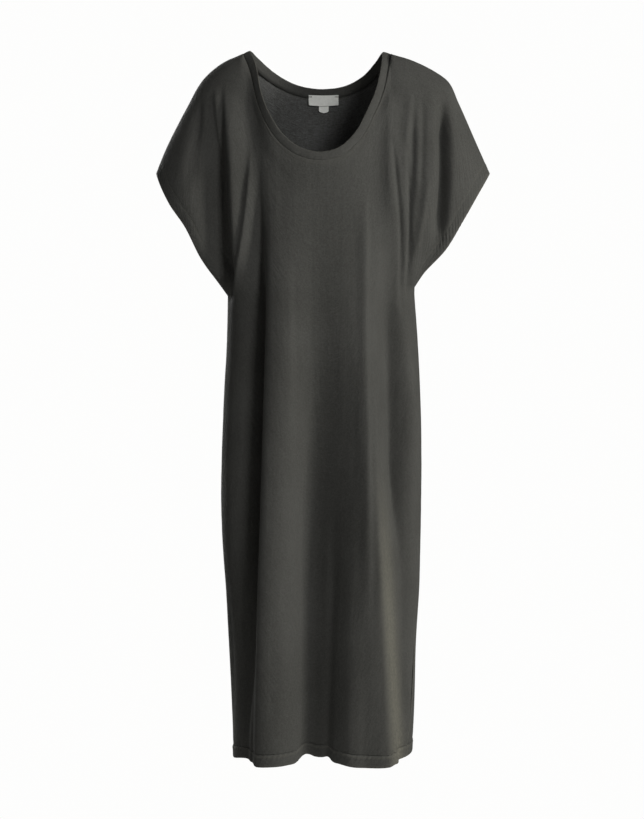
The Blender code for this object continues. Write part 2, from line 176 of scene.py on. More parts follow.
# A fold starts and ends somewhere, its middle sways across, it stands out or (minus) sinks in,
# it is as wide as this to its left and right, and it takes part of its length to fade in and out
FOLD_COLUMNS = "top_x top_z low_x low_z sway out left right fade_in fade_out".split()
FRONT_FOLDS = (
    # Long folds of the skirt
    (-0.082, -0.220, -0.100, -1.200, -0.002, 0.020, 0.012, 0.040, 0.70, 0.0),
    (-0.006, -0.120, -0.022, -1.200, 0.000, -0.042, 0.034, 0.053, 0.75, 0.0),
    (0.058, -0.240, 0.048, -1.200, 0.000, 0.010, 0.026, 0.028, 0.70, 0.0),
    (0.074, -0.420, 0.102, -1.200, -0.002, 0.018, 0.026, 0.011, 0.60, 0.0),
    (0.136, -0.600, 0.141, -1.180, 0.000, -0.010, 0.012, 0.011, 0.35, 0.2),
    (-0.102, -0.150, -0.131, -1.200, 0.006, -0.030, 0.032, 0.0110, 0.36, 0.25),
    (0.120, -0.240, 0.138, -0.900, 0.000, -0.033, 0.028, 0.018, 0.35, 0.35),
    # Cloth held level between the neck and the arms
    (-0.117, -0.060, -0.114, -0.380, 0.000, -0.003, 0.020, 0.016, 0.15, 0.35),
    (0.108, -0.060, 0.114, -0.330, 0.000, 0.007, 0.014, 0.015, 0.15, 0.45),
    # Left shoulder to underarm
    (-0.170, -0.060, -0.1565, -0.420, 0.000, -0.028, 0.042, 0.0080, 0.46, 0.12),
    (-0.204, -0.080, -0.232, -0.250, 0.004, -0.004, 0.012, 0.016, 0.35, 0.30),
    # Right shoulder to underarm
    (0.110, -0.240, 0.166, -0.780, 0.004, 0.008, 0.018, 0.011, 0.30, 0.35),
    (0.199, -0.060, 0.191, -0.350, 0.008, -0.021, 0.012, 0.0088, 0.30, 0.25),
)
BACK_FOLDS = (
    # Long folds of the skirt
    (-0.060, -0.260, -0.066, -1.200, 0.004, 0.030, 0.030, 0.026, 0.75, 0.0),
    (0.002, -0.340, 0.012, -1.200, -0.006, -0.040, 0.027, 0.025, 0.80, 0.0),
    (0.072, -0.230, 0.079, -1.200, 0.006, 0.029, 0.023, 0.032, 0.70, 0.0),
    (0.122, -0.300, 0.127, -1.200, 0.004, -0.018, 0.017, 0.015, 0.50, 0.0),
    (-0.116, -0.440, -0.120, -1.200, 0.000, -0.020, 0.020, 0.016, 0.55, 0.0),
    # Shoulders to underarms
    (-0.170, -0.060, -0.154, -0.390, 0.012, -0.021, 0.015, 0.013, 0.30, 0.15),
    (-0.205, -0.080, -0.213, -0.300, -0.006, -0.012, 0.014, 0.018, 0.35, 0.30),
    (-0.136, -0.090, -0.113, -0.350, 0.008, 0.010, 0.018, 0.016, 0.40, 0.40),
    (0.170, -0.060, 0.153, -0.390, -0.012, -0.022, 0.013, 0.015, 0.30, 0.15),
    (0.205, -0.080, 0.212, -0.300, 0.006, -0.013, 0.018, 0.014, 0.35, 0.30),
    (0.136, -0.090, 0.114, -0.340, -0.008, 0.010, 0.016, 0.018, 0.40, 0.40),
)
# Finer creases that the cloth wears on top of its folds
FRONT_CREASES = (
    # Front of the skirt
    (0.0715, -0.220, 0.0730, -1.050, 0.000, 0.0055, 0.0120, 0.0050, 0.15, 0.50),
    (0.0860, -0.480, 0.1170, -1.200, -0.003, 0.0060, 0.0140, 0.0060, 0.25, 0.0),
    (-0.0540, -0.300, -0.0480, -1.200, 0.000, 0.0080, 0.0300, 0.0070, 0.40, 0.0),
    (0.022, -0.760, 0.010, -1.195, 0.002, -0.0040, 0.0090, 0.0060, 0.35, 0.0),
    (-0.117, -0.900, -0.116, -1.195, 0.000, 0.0035, 0.0060, 0.0040, 0.30, 0.0),
    (-0.1030, -0.150, -0.1270, -1.020, 0.006, -0.0070, 0.0100, 0.0042, 0.24, 0.30),
    # Left shoulder
    (-0.114, -0.140, -0.1505, -0.430, 0.006, 0.0088, 0.0058, 0.0240, 0.36, 0.15),
    (-0.1600, -0.050, -0.1530, -0.400, 0.000, 0.0048, 0.0036, 0.0300, 0.20, 0.20),
    (-0.1770, -0.060, -0.1640, -0.190, -0.003, 0.0040, 0.0030, 0.0120, 0.25, 0.40),
    (-0.2020, -0.070, -0.2160, -0.180, 0.002, -0.0030, 0.0060, 0.0050, 0.30, 0.50),
    # Right shoulder
    (0.1150, -0.140, 0.1430, -0.450, 0.000, -0.0046, 0.0036, 0.0042, 0.25, 0.12),
    (0.1400, -0.150, 0.1480, -0.430, 0.000, -0.0036, 0.0034, 0.0042, 0.30, 0.15),
    (0.1200, -0.200, 0.1480, -0.520, 0.000, 0.0030, 0.0120, 0.0060, 0.40, 0.30),
    (0.0985, -0.640, 0.1200, -1.195, 0.000, 0.0060, 0.0100, 0.0050, 0.35, 0.0),
    (0.146, -0.070, 0.138, -0.170, 0.002, 0.0025, 0.0080, 0.0050, 0.30, 0.40),
    (0.150, -0.080, 0.146, -0.300, 0.000, -0.0042, 0.0062, 0.0060, 0.30, 0.35),
    (0.166, -0.060, 0.161, -0.260, 0.002, -0.0022, 0.0050, 0.0050, 0.30, 0.35),
    (0.176, -0.200, 0.150, -0.360, 0.003, 0.0030, 0.0070, 0.0060, 0.30, 0.30),
)
BACK_CREASES = (
    (-0.082, -0.300, -0.086, -0.720, 0.002, 0.0022, 0.0060, 0.0050, 0.30, 0.4),
    (-0.030, -0.500, -0.022, -1.080, -0.003, -0.0020, 0.0060, 0.0060, 0.35, 0.4),
    (0.038, -0.460, 0.046, -1.150, 0.002, 0.0018, 0.0070, 0.0050, 0.40, 0.2),
    (0.104, -0.720, 0.099, -1.195, 0.002, 0.0028, 0.0050, 0.0060, 0.30, 0.0),
    (-0.110, -0.820, -0.104, -1.195, 0.002, 0.0028, 0.0060, 0.0050, 0.30, 0.0),
    (0.160, -0.060, 0.152, -0.240, 0.003, -0.0028, 0.0060, 0.0050, 0.25, 0.5),
    (-0.188, -0.065, -0.178, -0.260, 0.004, 0.0026, 0.0050, 0.0060, 0.30, 0.4),
)
# Where the cloth has rubbed and faded, in the same columns; out is how much. The front's streak, down
# the right flank of a fold that faces the key light, is also a painted highlight.
FRONT_RUBBED_AND_HIGHLIGHT = (
    (0.092, -0.620, 0.130, -1.220, 0.000, 0.85, 0.0110, 0.0110, 0.60, 0.0),
)
BACK_RUBBED = (
    (-0.060, -0.560, -0.066, -1.220, 0.004, 0.30, 0.0140, 0.0120, 0.50, 0.0),
    (0.072, -0.560, 0.079, -1.220, 0.006, 0.40, 0.0120, 0.0140, 0.50, 0.0),
)
FOLDS = {"front": (FRONT_FOLDS, FRONT_CREASES), "back": (BACK_FOLDS, BACK_CREASES)}
RUBBED_AND_HIGHLIGHT = {"front": FRONT_RUBBED_AND_HIGHLIGHT, "back": BACK_RUBBED}
FOLDS_FADE_DOWN = 0.12
# How much lower the skirt hangs where its folds stand out
FOLDS_HANG = 0.12
FOLDS_FADE_ASIDE = 14.0
# How far the front's hem hangs below its even level, along its width
HEM_WAVE = (
    # across, lower
    (-0.160, -0.0010),
    (-0.124, -0.0015),
    (-0.114, 0.0008),
    (-0.104, 0.0035),
    (-0.080, 0.0042),
    (-0.058, 0.0052),
    (-0.045, 0.0052),
    (-0.038, 0.0010),
    (-0.032, -0.0010),
    (-0.024, 0.0004),
    (-0.014, 0.0040),
    (0.000, 0.0036),
    (0.012, 0.0014),
    (0.018, 0.0052),
    (0.030, 0.0050),
    (0.060, 0.0054),
    (0.078, 0.0036),
    (0.092, 0.0006),
    (0.105, -0.0034),
    (0.115, -0.0066),
    (0.128, -0.0092),
    (0.140, -0.0118),
    (0.156, -0.0110),
)
HEM_WAVE_TALL = 0.10
# Steps over which the plain cloth's slope is read, and the angle over which it is eased
STEP_DOWN = 0.02
STEP_OVER = 1.5
EASE_ANGLE = 14.0

# Columns and rows of the mesh
COLUMNS_IN_HEM = 10
COLUMNS_OVER_ARM = 62
COLUMNS_AT_NECK = 120
ROWS_ABOVE = 110
ROWS_AT_SEAM = 7
ROWS_BELOW = 60
ROWS_CROWD = 1.35

# Seams and the small waves that sewing leaves
SEAM_DEEP = 0.0011
SEAM_HALF = 0.0018
SLEEVE_GROOVE = 0.0005
SKIRT_GROOVE = 0.0010
ALLOWANCE = 0.0065
ALLOWANCE_PROUD = 0.0003
PUCKER_LONG = 0.0090
PUCKER_HIGH = 0.00042
PUCKER_REACH = 0.006
NECK_PUCKER_HIGH = 0.0002
NECK_PUCKER_REACH = 0.009
# The right sleeve's hem is drawn up more tightly round this height, by this much, this far
DRAWN_HEIGHT, DRAWN_MORE, DRAWN_REACH = -0.31, 2.6, 0.045
# Soft unevenness of the cloth: how high, and how long a wave is across and down
UNEVEN_WAVES = ((0.0007, 0.018, 0.16), (0.0003, 0.009, 0.06))


def curve(knots, values, at):
    """Smooth curve through the rows of a table."""
    knots = np.asarray(knots, float)
    values = np.asarray(values, float)
    if knots[0] > knots[-1]:
        knots, values = knots[::-1], values[::-1]
    slopes = np.gradient(values, knots, axis=0)
    at = np.clip(at, knots[0], knots[-1])
    i = np.clip(np.searchsorted(knots, at) - 1, 0, len(knots) - 2)
    span = knots[i + 1] - knots[i]
    t = (at - knots[i]) / span
    if values.ndim > 1:
        span = span[..., None]
        t = t[..., None]
    start = (1 + 2 * t) * (1 - t) ** 2 * values[i] + t * (1 - t) ** 2 * span * slopes[i]
    end = t * t * (3 - 2 * t) * values[i + 1] - t * t * (1 - t) * span * slopes[i + 1]
    return start + end


def read(table, at, place=1):
    """Value from a table's column, between the rows, where its first column is at."""
    rows = np.array(table)
    return curve(rows[:, 0], rows[:, place], at)


def lengths_along(points):
    """Distance of each point of a line from its start."""
    steps = np.linalg.norm(np.diff(points, axis=0), axis=1)
    return np.concatenate(([0.0], np.cumsum(steps)))


def along(points, fraction):
    """Point at a fraction of the length of a curve through the points."""
    points = np.asarray(points, float)
    reach = lengths_along(points)
    return curve(reach / reach[-1], points, np.asarray(fraction, float))


def unit(vector):
    return vector / np.maximum(np.linalg.norm(vector, axis=-1, keepdims=True), 1e-9)


def smooth(t):
    t = np.clip(t, 0.0, 1.0)
    return t * t * (3 - 2 * t)


def close_to(distance, reach):
    """1 where a distance is nothing, fading to 0 past a reach."""
    return np.exp(-((distance / reach) ** 2))


def signed_power(value, power):
    return np.sign(value) * np.abs(value) ** power


def ring(side, angle, height):
    """Body section: the point at an angle from centre front (or centre back), at a height."""
    turn = np.radians(angle)
    left, right, front, back = (read(BODY, height, place) for place in range(1, 5))
    near, far = (front, back) if side == "front" else (back, front)
    wide = np.where(turn < 0, left, right)
    depth = np.where(np.abs(angle) > 90, far, near)
    x = wide * signed_power(np.sin(turn), 2 / SECTION_POWER)
    y = depth * signed_power(np.cos(turn), 2 / SECTION_POWER)
    return x, AWAY[side] * y


def seam_angles(side, height):
    """Angles of the left and right side seams, seen from the panel's own centre line."""
    left, right = read(SEAM_TURN, height, 1), read(SEAM_TURN, height, 2)
    if side == "front":
        return -90.0 + left, 90.0 - right
    return -90.0 - left, 90.0 + right


def neck_edge(side, across):
    """Neckline seam; across runs from -1 at the left neck point to 1 at the right one."""
    return along(NECK[side], (np.asarray(across, float) + 1) / 2)


def top_edge(side, angle):
    """Panel's top edge above the column that reaches underarm level at this angle."""
    angle = np.asarray(angle, float)
    arm = (np.abs(angle) - NECK_ANGLE) / (90.0 - NECK_ANGLE)
    edge = neck_edge(side, np.clip(angle / NECK_ANGLE, -1, 1))
    for sign, table in ((-1, OVER_ARM_LEFT), (1, OVER_ARM_RIGHT)):
        here = (arm > 0) & (angle * sign > 0)
        flat = along(table, np.clip(arm, 0, 1))
        over = np.stack([flat[..., 0], np.zeros_like(arm), flat[..., 1]], -1)
        edge = np.where(here[..., None], over, edge)
    return edge


def sleeve_edge(side, table, down):
    """Sleeve hem from its tip (down 0) to the underarm (down 1)."""
    flat = along(table, down)
    swell = np.abs(np.sin(math.pi * np.asarray(down, float) ** SLEEVE_BOW_PLACE))
    bow = SLEEVE_BOW[side] * swell**SLEEVE_BOW_ROUND
    return np.stack([flat[..., 0], AWAY[side] * bow, flat[..., 1]], -1)


def fold_depth(table, x, z):
    """How far all the folds of a table move a point out, at its place seen from the front."""
    total = np.zeros_like(x)
    for row in table:
        fold = dict(zip(FOLD_COLUMNS, row))
        part = (z - fold["top_z"]) / (fold["low_z"] - fold["top_z"])
        held = np.clip(part, 0, 1)
        middle = fold["top_x"] + (fold["low_x"] - fold["top_x"]) * held
        middle = middle + fold["sway"] * np.sin(math.pi * held)
        aside = x - middle
        wide = np.where(aside < 0, fold["left"], fold["right"])
        fade = smooth(part / fold["fade_in"]) if fold["fade_in"] else np.ones_like(part)
        if fold["fade_out"]:
            fade = fade * smooth((1 - part) / fold["fade_out"])
        total = total + fold["out"] * fade * close_to(aside, wide)
    return total


def plain_surface(side, angle, down):
    """Outer face of a panel before its folds.

    The angle names a column by where it crosses underarm level. Down runs from 0 at the top
    edge, through 1 at underarm level, to 2 at the hem.
    """
    share = (angle + 90.0) / 180.0
    level = SLEEVE_LEFT[-1][1] + (SLEEVE_RIGHT[-1][1] - SLEEVE_LEFT[-1][1]) * share
    # Above underarm level: between the top edge, the sleeve hems and the body's section there
    t = np.clip(down, 0, 1)
    start = top_edge(side, angle)
    end_x, end_y = ring(side, angle, level)
    round_off = (1 - (1 - t) ** ROUND_POWER) ** (1 / ROUND_POWER)
    deepest = max(abs(row[1]) for row in NECK[side])
    straight = np.abs(start[..., 1]) / deepest
    bend = round_off + (t - round_off) * straight
    x = start[..., 0] + (end_x - start[..., 0]) * t
    y = start[..., 1] + (end_y - start[..., 1]) * bend
    z = start[..., 2] + (level - start[..., 2]) * t
    for sign, table in ((-1, SLEEVE_LEFT), (1, SLEEVE_RIGHT)):
        edge = sleeve_edge(side, table, t)
        tip, pit = np.array(table[0]), np.array(table[-1])
        near = np.clip(1 - (90.0 - sign * angle) / SLEEVE_REACH, 0, 1) ** SLEEVE_FADE
        x = x + near * (edge[..., 0] - (tip[0] + (pit[0] - tip[0]) * t))
        y = y + near * edge[..., 1]
        z = z + near * (edge[..., 2] - (tip[1] + (pit[1] - tip[1]) * t))
    over_arm = close_to(np.abs(angle) - ARM_FULL_ANGLE, ARM_FULL_SPREAD)
    full = over_arm * np.sin(math.pi * t**ARM_FULL_PLACE)
    y = y + AWAY[side] * ARM_FULL[side] * full

    # Below underarm level: body sections down to the hem
    v = np.clip(down - 1, 0, 1)
    hem = HEM_LEVEL - HEM_SIDE_DROP * np.abs(np.sin(np.radians(angle))) ** HEM_DROP_POWER
    low_z = level + (hem - level) * v
    left, right = seam_angles(side, low_z)
    low_x, low_y = ring(side, left + (right - left) * share, low_z)
    below = down > 1
    return np.stack(
        [np.where(below, low_x, x), np.where(below, low_y, y), np.where(below, low_z, z)], -1
    )


def eased_surface(side, angle, down):
    """Plain surface, eased across the corners that its top edge has at the neck points."""
    if np.all(down >= 1):
        return plain_surface(side, angle, down)
    reach = EASE_ANGLE * smooth((90.0 - np.abs(angle)) / EASE_ANGLE / 2) * smooth(down / 0.25)
    reach = reach * smooth((1 - down) / 0.1)
    shares = (0.10, 0.23, 0.34, 0.23, 0.10)
    steps = np.linspace(-1, 1, len(shares))
    return sum(
        plain_surface(side, angle + step * reach, down) * share for step, share in zip(steps, shares)
    )


def surface(side, angle, down):
    """Outer face of a panel with its folds, which stand out square to the plain cloth."""
    angle, down = np.broadcast_arrays(np.asarray(angle, float), np.asarray(down, float))
    plain = eased_surface(side, angle, down)
    ahead = np.where(down > 2 - STEP_DOWN, -STEP_DOWN, STEP_DOWN)
    beside = np.where(angle > 90 - STEP_OVER, -STEP_OVER, STEP_OVER)
    run_down = (eased_surface(side, angle, down + ahead) - plain) * np.sign(ahead)[..., None]
    run_over = (eased_surface(side, angle + beside, down) - plain) * np.sign(beside)[..., None]
    face = unit(np.cross(run_down, run_over) if side == "front" else np.cross(run_over, run_down))
    out = sum(fold_depth(table, plain[..., 0], plain[..., 2]) for table in FOLDS[side])
    out = out * smooth(down / FOLDS_FADE_DOWN)
    out = out * smooth((90.0 - np.abs(angle)) / FOLDS_FADE_ASIDE)
    hang = np.zeros_like(plain)
    hang[..., 2] = -FOLDS_HANG * out * np.clip(down - 1, 0, 1)
    lower = read(HEM_WAVE, plain[..., 0])
    if side == "back":
        lower = lower * smooth((np.abs(plain[..., 0]) - 0.09) / 0.05)
    rise = plain[..., 2] - (HEM_LEVEL - HEM_SIDE_DROP)
    hang[..., 2] -= lower * smooth(1 - rise / HEM_WAVE_TALL)
    return plain + face * out[..., None] + hang


def soft_noise(u, v, seed):
    """Smooth uneven waves between -1 and 1, one for each unit of u and v."""
    lattice = np.random.default_rng(seed).uniform(-1, 1, (97, 97))
    i, j = np.floor(u).astype(int), np.floor(v).astype(int)
    s, t = smooth(u - i), smooth(v - j)
    a, b = lattice[i % 97, j % 97], lattice[(i + 1) % 97, j % 97]
    c, d = lattice[i % 97, (j + 1) % 97], lattice[(i + 1) % 97, (j + 1) % 97]
    return (a * (1 - s) + b * s) * (1 - t) + (c * (1 - s) + d * s) * t


def puckers(length, depth, seed):
    """Uneven short waves along a seam, leaning over as they go in from it."""
    lean = 0.6 * depth / PUCKER_LONG
    drift = 2.2 * soft_noise(length / 0.035, depth * 0, seed)
    wave = np.sin(2 * math.pi * (length / PUCKER_LONG + lean) + drift)
    return wave * (0.65 + 0.45 * soft_noise(length / 0.022, depth / 0.02, seed + 1))


def unevenness(points, side):
    """Soft unevenness of jersey that has been washed and worn, less over the chest."""
    seed = 31 if side == "front" else 67
    x, z = points[..., 0] + 1, points[..., 2] + 2
    low = 0.4 + 0.6 * smooth((1.55 - z) / 0.25)
    (broad, broad_wide, broad_tall), (fine, fine_wide, fine_tall) = UNEVEN_WAVES
    waves = broad * soft_noise(x / broad_wide, z / broad_tall, seed)
    return low * (waves + fine * soft_noise(x / fine_wide, z / fine_tall, seed + 10))


def panel_rows():
    """How far down each row lies, crowded at the top edge and ending at the hem's stitches."""
    above = np.linspace(0, 1, ROWS_ABOVE + 1) ** ROWS_CROWD
    at_seam = above[1] * (np.arange(1, ROWS_AT_SEAM + 1) / (ROWS_AT_SEAM + 1)) ** 2
    stitched = 2 - HEM_TURN / SKIRT_TALL
    below = np.linspace(1, stitched, ROWS_BELOW + 1)[1:-1]
    return np.concatenate(([0.0], at_seam, above[1:], below, [stitched - 0.002, stitched]))


def panel_columns(side, downs):
    """Column angles, row by row, crowded within the hem's width of both side edges."""
    fine = np.linspace(-90, 90, 541)
    points = eased_surface(side, *np.broadcast_arrays(fine[None, :], downs[:, None]))
    steps = np.linalg.norm(np.diff(points, axis=1), axis=-1)
    reach = np.concatenate((np.zeros((len(downs), 1)), np.cumsum(steps, axis=1)), axis=1)
    in_hem = HEM_TURN * np.linspace(0, 1, COLUMNS_IN_HEM + 1) ** 1.3
    angles = []
    for lengths in reach:
        left = np.interp(in_hem, lengths, fine)
        right = np.interp(lengths[-1] - in_hem[::-1], lengths, fine)
        middle = np.concatenate(
            (
                np.linspace(left[-1], -NECK_ANGLE, COLUMNS_OVER_ARM + 1)[1:],
                np.linspace(-NECK_ANGLE, NECK_ANGLE, COLUMNS_AT_NECK + 1)[1:-1],
                np.linspace(NECK_ANGLE, right[0], COLUMNS_OVER_ARM + 1)[:-1],
            )
        )
        angles.append(np.concatenate((left, middle, right)))
    return np.array(angles)


def grid_lengths(points):
    """Distance of each point from the grid's first column and from its first row."""
    over = np.linalg.norm(np.diff(points, axis=1), axis=-1)
    down = np.linalg.norm(np.diff(points, axis=0), axis=-1)
    across = np.concatenate((np.zeros((points.shape[0], 1)), np.cumsum(over, axis=1)), axis=1)
    below = np.concatenate((np.zeros((1, points.shape[1])), np.cumsum(down, axis=0)), axis=0)
    return across, below


def grid_normals(points, side):
    """Ways out of a panel's cloth, one for each of its points."""
    return unit(np.cross(np.gradient(points, axis=1), np.gradient(points, axis=0)) * AWAY[side])


def sewn_panel(side):
    """Points of a panel with its seams and puckers, their places on the cloth, and their wear with the
    painted highlight.
    """
    rows = panel_rows()
    angles = panel_columns(side, rows)
    downs = np.broadcast_to(rows[:, None], angles.shape)
    points = surface(side, angles, downs)
    across, below = grid_lengths(points)
    aside = np.minimum(across, across[:, -1:] - across)
    seed = 11 if side == "front" else 47

    # Side seams pull in, sleeve hems are stitched along a groove and ripple below it
    sleeve = smooth((1.04 - downs) / 0.05)
    seam = (1 - sleeve) * close_to(aside, SEAM_HALF)
    stitched = sleeve * close_to(aside - HEM_TURN, SEAM_HALF)
    hem_part = np.clip(aside / HEM_TURN, 0, 1.6)
    ripple = sleeve * np.sin(math.pi * np.clip(hem_part, 0, 1)) ** 0.7 * (hem_part < 1)
    ripple = ripple + (1 - sleeve) * 0.5 * close_to(aside, PUCKER_REACH)
    drawn = 1 + DRAWN_MORE * close_to(points[..., 2] - DRAWN_HEIGHT, DRAWN_REACH) * (angles > 0)
    out = -SEAM_DEEP * seam - SLEEVE_GROOVE * stitched
    out = out + PUCKER_HIGH * drawn * ripple * puckers(below, aside, seed)

    # Over the arms the seam pulls in; round the neck the allowance beneath shows as a low ridge
    over_arm = smooth((np.abs(angles) - NECK_ANGLE) / 1.5)
    out = out - SEAM_DEEP * over_arm * close_to(below, SEAM_HALF)
    ridge = smooth(below / 0.0015) * smooth((ALLOWANCE + 0.0015 - below) / 0.002)
    out = out + ALLOWANCE_PROUD * (1 - over_arm) * ridge
    near_neck = (1 - over_arm) * close_to(below, NECK_PUCKER_REACH)
    out = out + NECK_PUCKER_HIGH * near_neck * puckers(across, below, seed + 5)

    # The skirt's hem is stitched below the last row, which dips into the same groove
    above_hem = below[-1:] - below
    stitch = close_to(above_hem, SEAM_HALF)
    out = out - SKIRT_GROOVE * stitch
    pucker = close_to(above_hem, PUCKER_REACH) * puckers(across, above_hem, seed + 9)
    out = out + 0.5 * PUCKER_HIGH * pucker

    out = out + unevenness(points, side)
    points = points + grid_normals(points, side) * (out * smooth(below / 0.0008))[..., None]

    # Wear shows first on what stands out or is folded: seams, edges and the crests of long folds. The
    # front's faded streak down the right flank of a fold is also a painted highlight where the key light
    # falls.
    across_arm = over_arm * close_to(below, 0.003)
    edge = sleeve * close_to(aside, 0.003)
    wear = [0.35 * seam, 0.1 * stitched, 0.1 * near_neck, 0.05 * stitch, 0.25 * across_arm, 0.3 * edge]
    wear = np.maximum.reduce(wear)
    wear = wear + fold_depth(RUBBED_AND_HIGHLIGHT[side], points[..., 0], points[..., 2])
    middle = np.argmin(np.abs(angles), axis=1)
    centre = np.take_along_axis(across, middle[:, None], axis=1)
    return points, np.stack((across - centre, -below), -1), wear


def grid_faces(rows, columns, flip):
    """Faces of a grid of points, turned over where flip is true."""
    faces = []
    for j in range(rows - 1):
        for i in range(columns - 1):
            a, b = j * columns + i, j * columns + i + 1
            c, d = b + columns, a + columns
            faces.append((a, b, c, d) if flip else (a, d, c, b))
    return faces


def add_object(name, data):
    """Object with this data, placed in the scene."""
    thing = bpy.data.objects.new(name, data)
    bpy.context.scene.collection.objects.link(thing)
    return thing


def give_wall(piece, thickness):
    """Thickness of the cloth, laid on behind its face."""
    wall = piece.modifiers.new("cloth thickness", "SOLIDIFY")
    wall.thickness = thickness
    wall.offset = -1.0
    wall.use_even_offset = False
    return wall


def cloth_piece(name, sheet, flip, materials, thickness=CLOTH):
    """Sheet of cloth from a grid of points, their places on the flat cloth in metres, and wear, which
    carries any painted highlight.

    A second material, where there is one, is the cloth's inner side.
    """
    points, cloth, wear = sheet
    rows, columns = points.shape[:2]
    mesh = bpy.data.meshes.new(name)
    mesh.from_pydata(points.reshape(-1, 3).tolist(), [], grid_faces(rows, columns, flip))
    corners = np.empty(len(mesh.loops), dtype=np.int32)
    mesh.loops.foreach_get("vertex_index", corners)
    places = mesh.uv_layers.new(name="cloth")
    places.uv.foreach_set("vector", cloth.reshape(-1, 2)[corners].astype(np.float32).ravel())
    # The wear attribute also carries the painted highlight down a front fold.
    worn_and_highlight = mesh.attributes.new("wear", "FLOAT", "POINT")
    worn_and_highlight.data.foreach_set("value", wear.reshape(-1).astype(np.float32))
    for material in materials:
        mesh.materials.append(material)
    mesh.shade_smooth()
    piece = add_object(name, mesh)
    give_wall(piece, thickness).material_offset = len(materials) - 1
    return piece


# Colours of the yarn, linear, from the faded high places to the depth of the dye. The faded colour also
# serves as a painted highlight down a front fold.
DYE_DEEP = (0.0400, 0.0399, 0.0362)
DYE_MAIN = (0.0645, 0.0643, 0.0600)
DYE_FADED_AND_HIGHLIGHT = (0.1250, 0.1205, 0.0980)
# The reverse side's own paler grey, made paler still as painted light where the inside of the back neck
# lies in shade
REVERSE_GREY_AND_LIGHT = (0.104, 0.1055, 0.1040)
# Knit: width of a wale and height of a course
WALE = 0.00075
COURSE = 0.00060
# Waves for each metre of cloth, across and down, of the ripples that hang in it
RIPPLE_STRETCH = (110.0, 9.0, 1.0)


def set_inputs(node, inputs):
    """Sets a node's inputs to values, or wires them to other nodes' outputs."""
    for name, value in inputs.items():
        socket = node.inputs[name]
        if isinstance(value, bpy.types.NodeSocket):
            node.id_data.links.new(value, socket)
        else:
            socket.default_value = value


def add_node(tree, kind, inputs=None, **settings):
    """Shader or geometry node with its settings and inputs."""
    node = tree.nodes.new(kind)
    for name, value in settings.items():
        setattr(node, name, value)
    set_inputs(node, inputs or {})
    return node


def out_of(tree, kind, inputs=None, **settings):
    """First output of a new node."""
    return add_node(tree, kind, inputs, **settings).outputs[0]


def sums(tree, operation, *values):
    return out_of(tree, "ShaderNodeMath", dict(enumerate(values)), operation=operation)


def vectors(tree, operation, *values):
    return out_of(tree, "ShaderNodeVectorMath", dict(enumerate(values)), operation=operation)


def noise(tree, vector, scale, detail=2.0, roughness=0.5):
    inputs = {"Vector": vector, "Scale": scale, "Detail": detail, "Roughness": roughness}
    return out_of(tree, "ShaderNodeTexNoise", inputs)


def mixed(tree, share, first, second):
    inputs = {"Factor": share, "A": first, "B": second}
    return add_node(tree, "ShaderNodeMix", inputs, data_type="RGBA").outputs["Result"]


def bump(tree, strength, distance, height, over=None):
    """Normal raised by a height, over another bump where there is one."""
    inputs = {"Strength": strength, "Distance": distance, "Height": height}
    return out_of(tree, "ShaderNodeBump", inputs if over is None else {**inputs, "Normal": over})


def new_material(name):
    """Node material with its tree and its shader."""
    material = bpy.data.materials.new(name)
    material.use_nodes = True
    return material, material.node_tree, material.node_tree.nodes["Principled BSDF"]


def start_group(name, kind, inputs, outputs):
    """Node group with named inputs and outputs, each a name, a kind and, going in, a value."""
    tree = bpy.data.node_groups.new(name, kind)
    for in_out, sockets in (("INPUT", inputs), ("OUTPUT", outputs)):
        for label, socket_kind, *value in sockets:
            socket = tree.interface.new_socket(
                name=label, in_out=in_out, socket_type=f"NodeSocket{socket_kind}"
            )
            if value:
                socket.default_value = value[0]
    return tree, tree.nodes.new("NodeGroupInput").outputs


def knit_group():
    """Loops of the knit: slanting legs in upright wales, or level courses where Slant is 0."""
    inputs = (
        ("Cloth", "Vector"),
        ("Wale", "Float", WALE),
        ("Course", "Float", COURSE),
        ("Slant", "Float", 0.5),
    )
    outputs = (("Height", "Float"), ("Gap", "Float"))
    tree, start = start_group("knit_loops", "ShaderNodeTree", inputs, outputs)
    calc = partial(sums, tree)
    place = add_node(tree, "ShaderNodeSeparateXYZ", {0: start["Cloth"]}).outputs
    wale = calc("DIVIDE", place["X"], start["Wale"])
    course = calc("DIVIDE", place["Y"], start["Course"])
    from_rib = calc("ABSOLUTE", calc("SUBTRACT", calc("FRACT", wale), 0.5))
    leg = calc("MULTIPLY_ADD", from_rib, calc("MULTIPLY", start["Slant"], 2.0), course)
    loop = calc("SINE", calc("MULTIPLY", leg, 2 * math.pi))
    gap = calc("POWER", calc("MULTIPLY", from_rib, 2.0), 3.0)
    height = calc("SUBTRACT", calc("MULTIPLY_ADD", loop, 0.3, 0.6), gap)
    add_node(tree, "NodeGroupOutput", {"Height": height, "Gap": gap})
    return tree


def slub_group():
    """Thick places in the yarn: short level streaks one or two courses high."""
    inputs = (
        ("Cloth", "Vector"),
        ("Long", "Float", 0.030),
        ("High", "Float", 0.0016),
        ("Amount", "Float", 0.5),
    )
    outputs = (("Streak", "Float"), ("Shade", "Float"))
    tree, start = start_group("slub_yarn", "ShaderNodeTree", inputs, outputs)
    calc = partial(sums, tree)
    size = out_of(tree, "ShaderNodeCombineXYZ", {0: start["Long"], 1: start["High"], 2: 1.0})
    place = vectors(tree, "DIVIDE", start["Cloth"], size)
    coarse = {0: noise(tree, place, 1.0), 1: 0.56, 2: 0.74}
    streak = out_of(tree, "ShaderNodeMapRange", coarse, interpolation_type="SMOOTHSTEP")
    streak = calc("MULTIPLY", streak, start["Amount"])
    fine = noise(tree, place, 2.6, 1.0)
    shade = calc("MULTIPLY", calc("SUBTRACT", fine, 0.5), start["Amount"])
    shade = calc("MULTIPLY_ADD", streak, 0.35, shade)
    add_node(tree, "NodeGroupOutput", {"Streak": streak, "Shade": shade})
    return tree


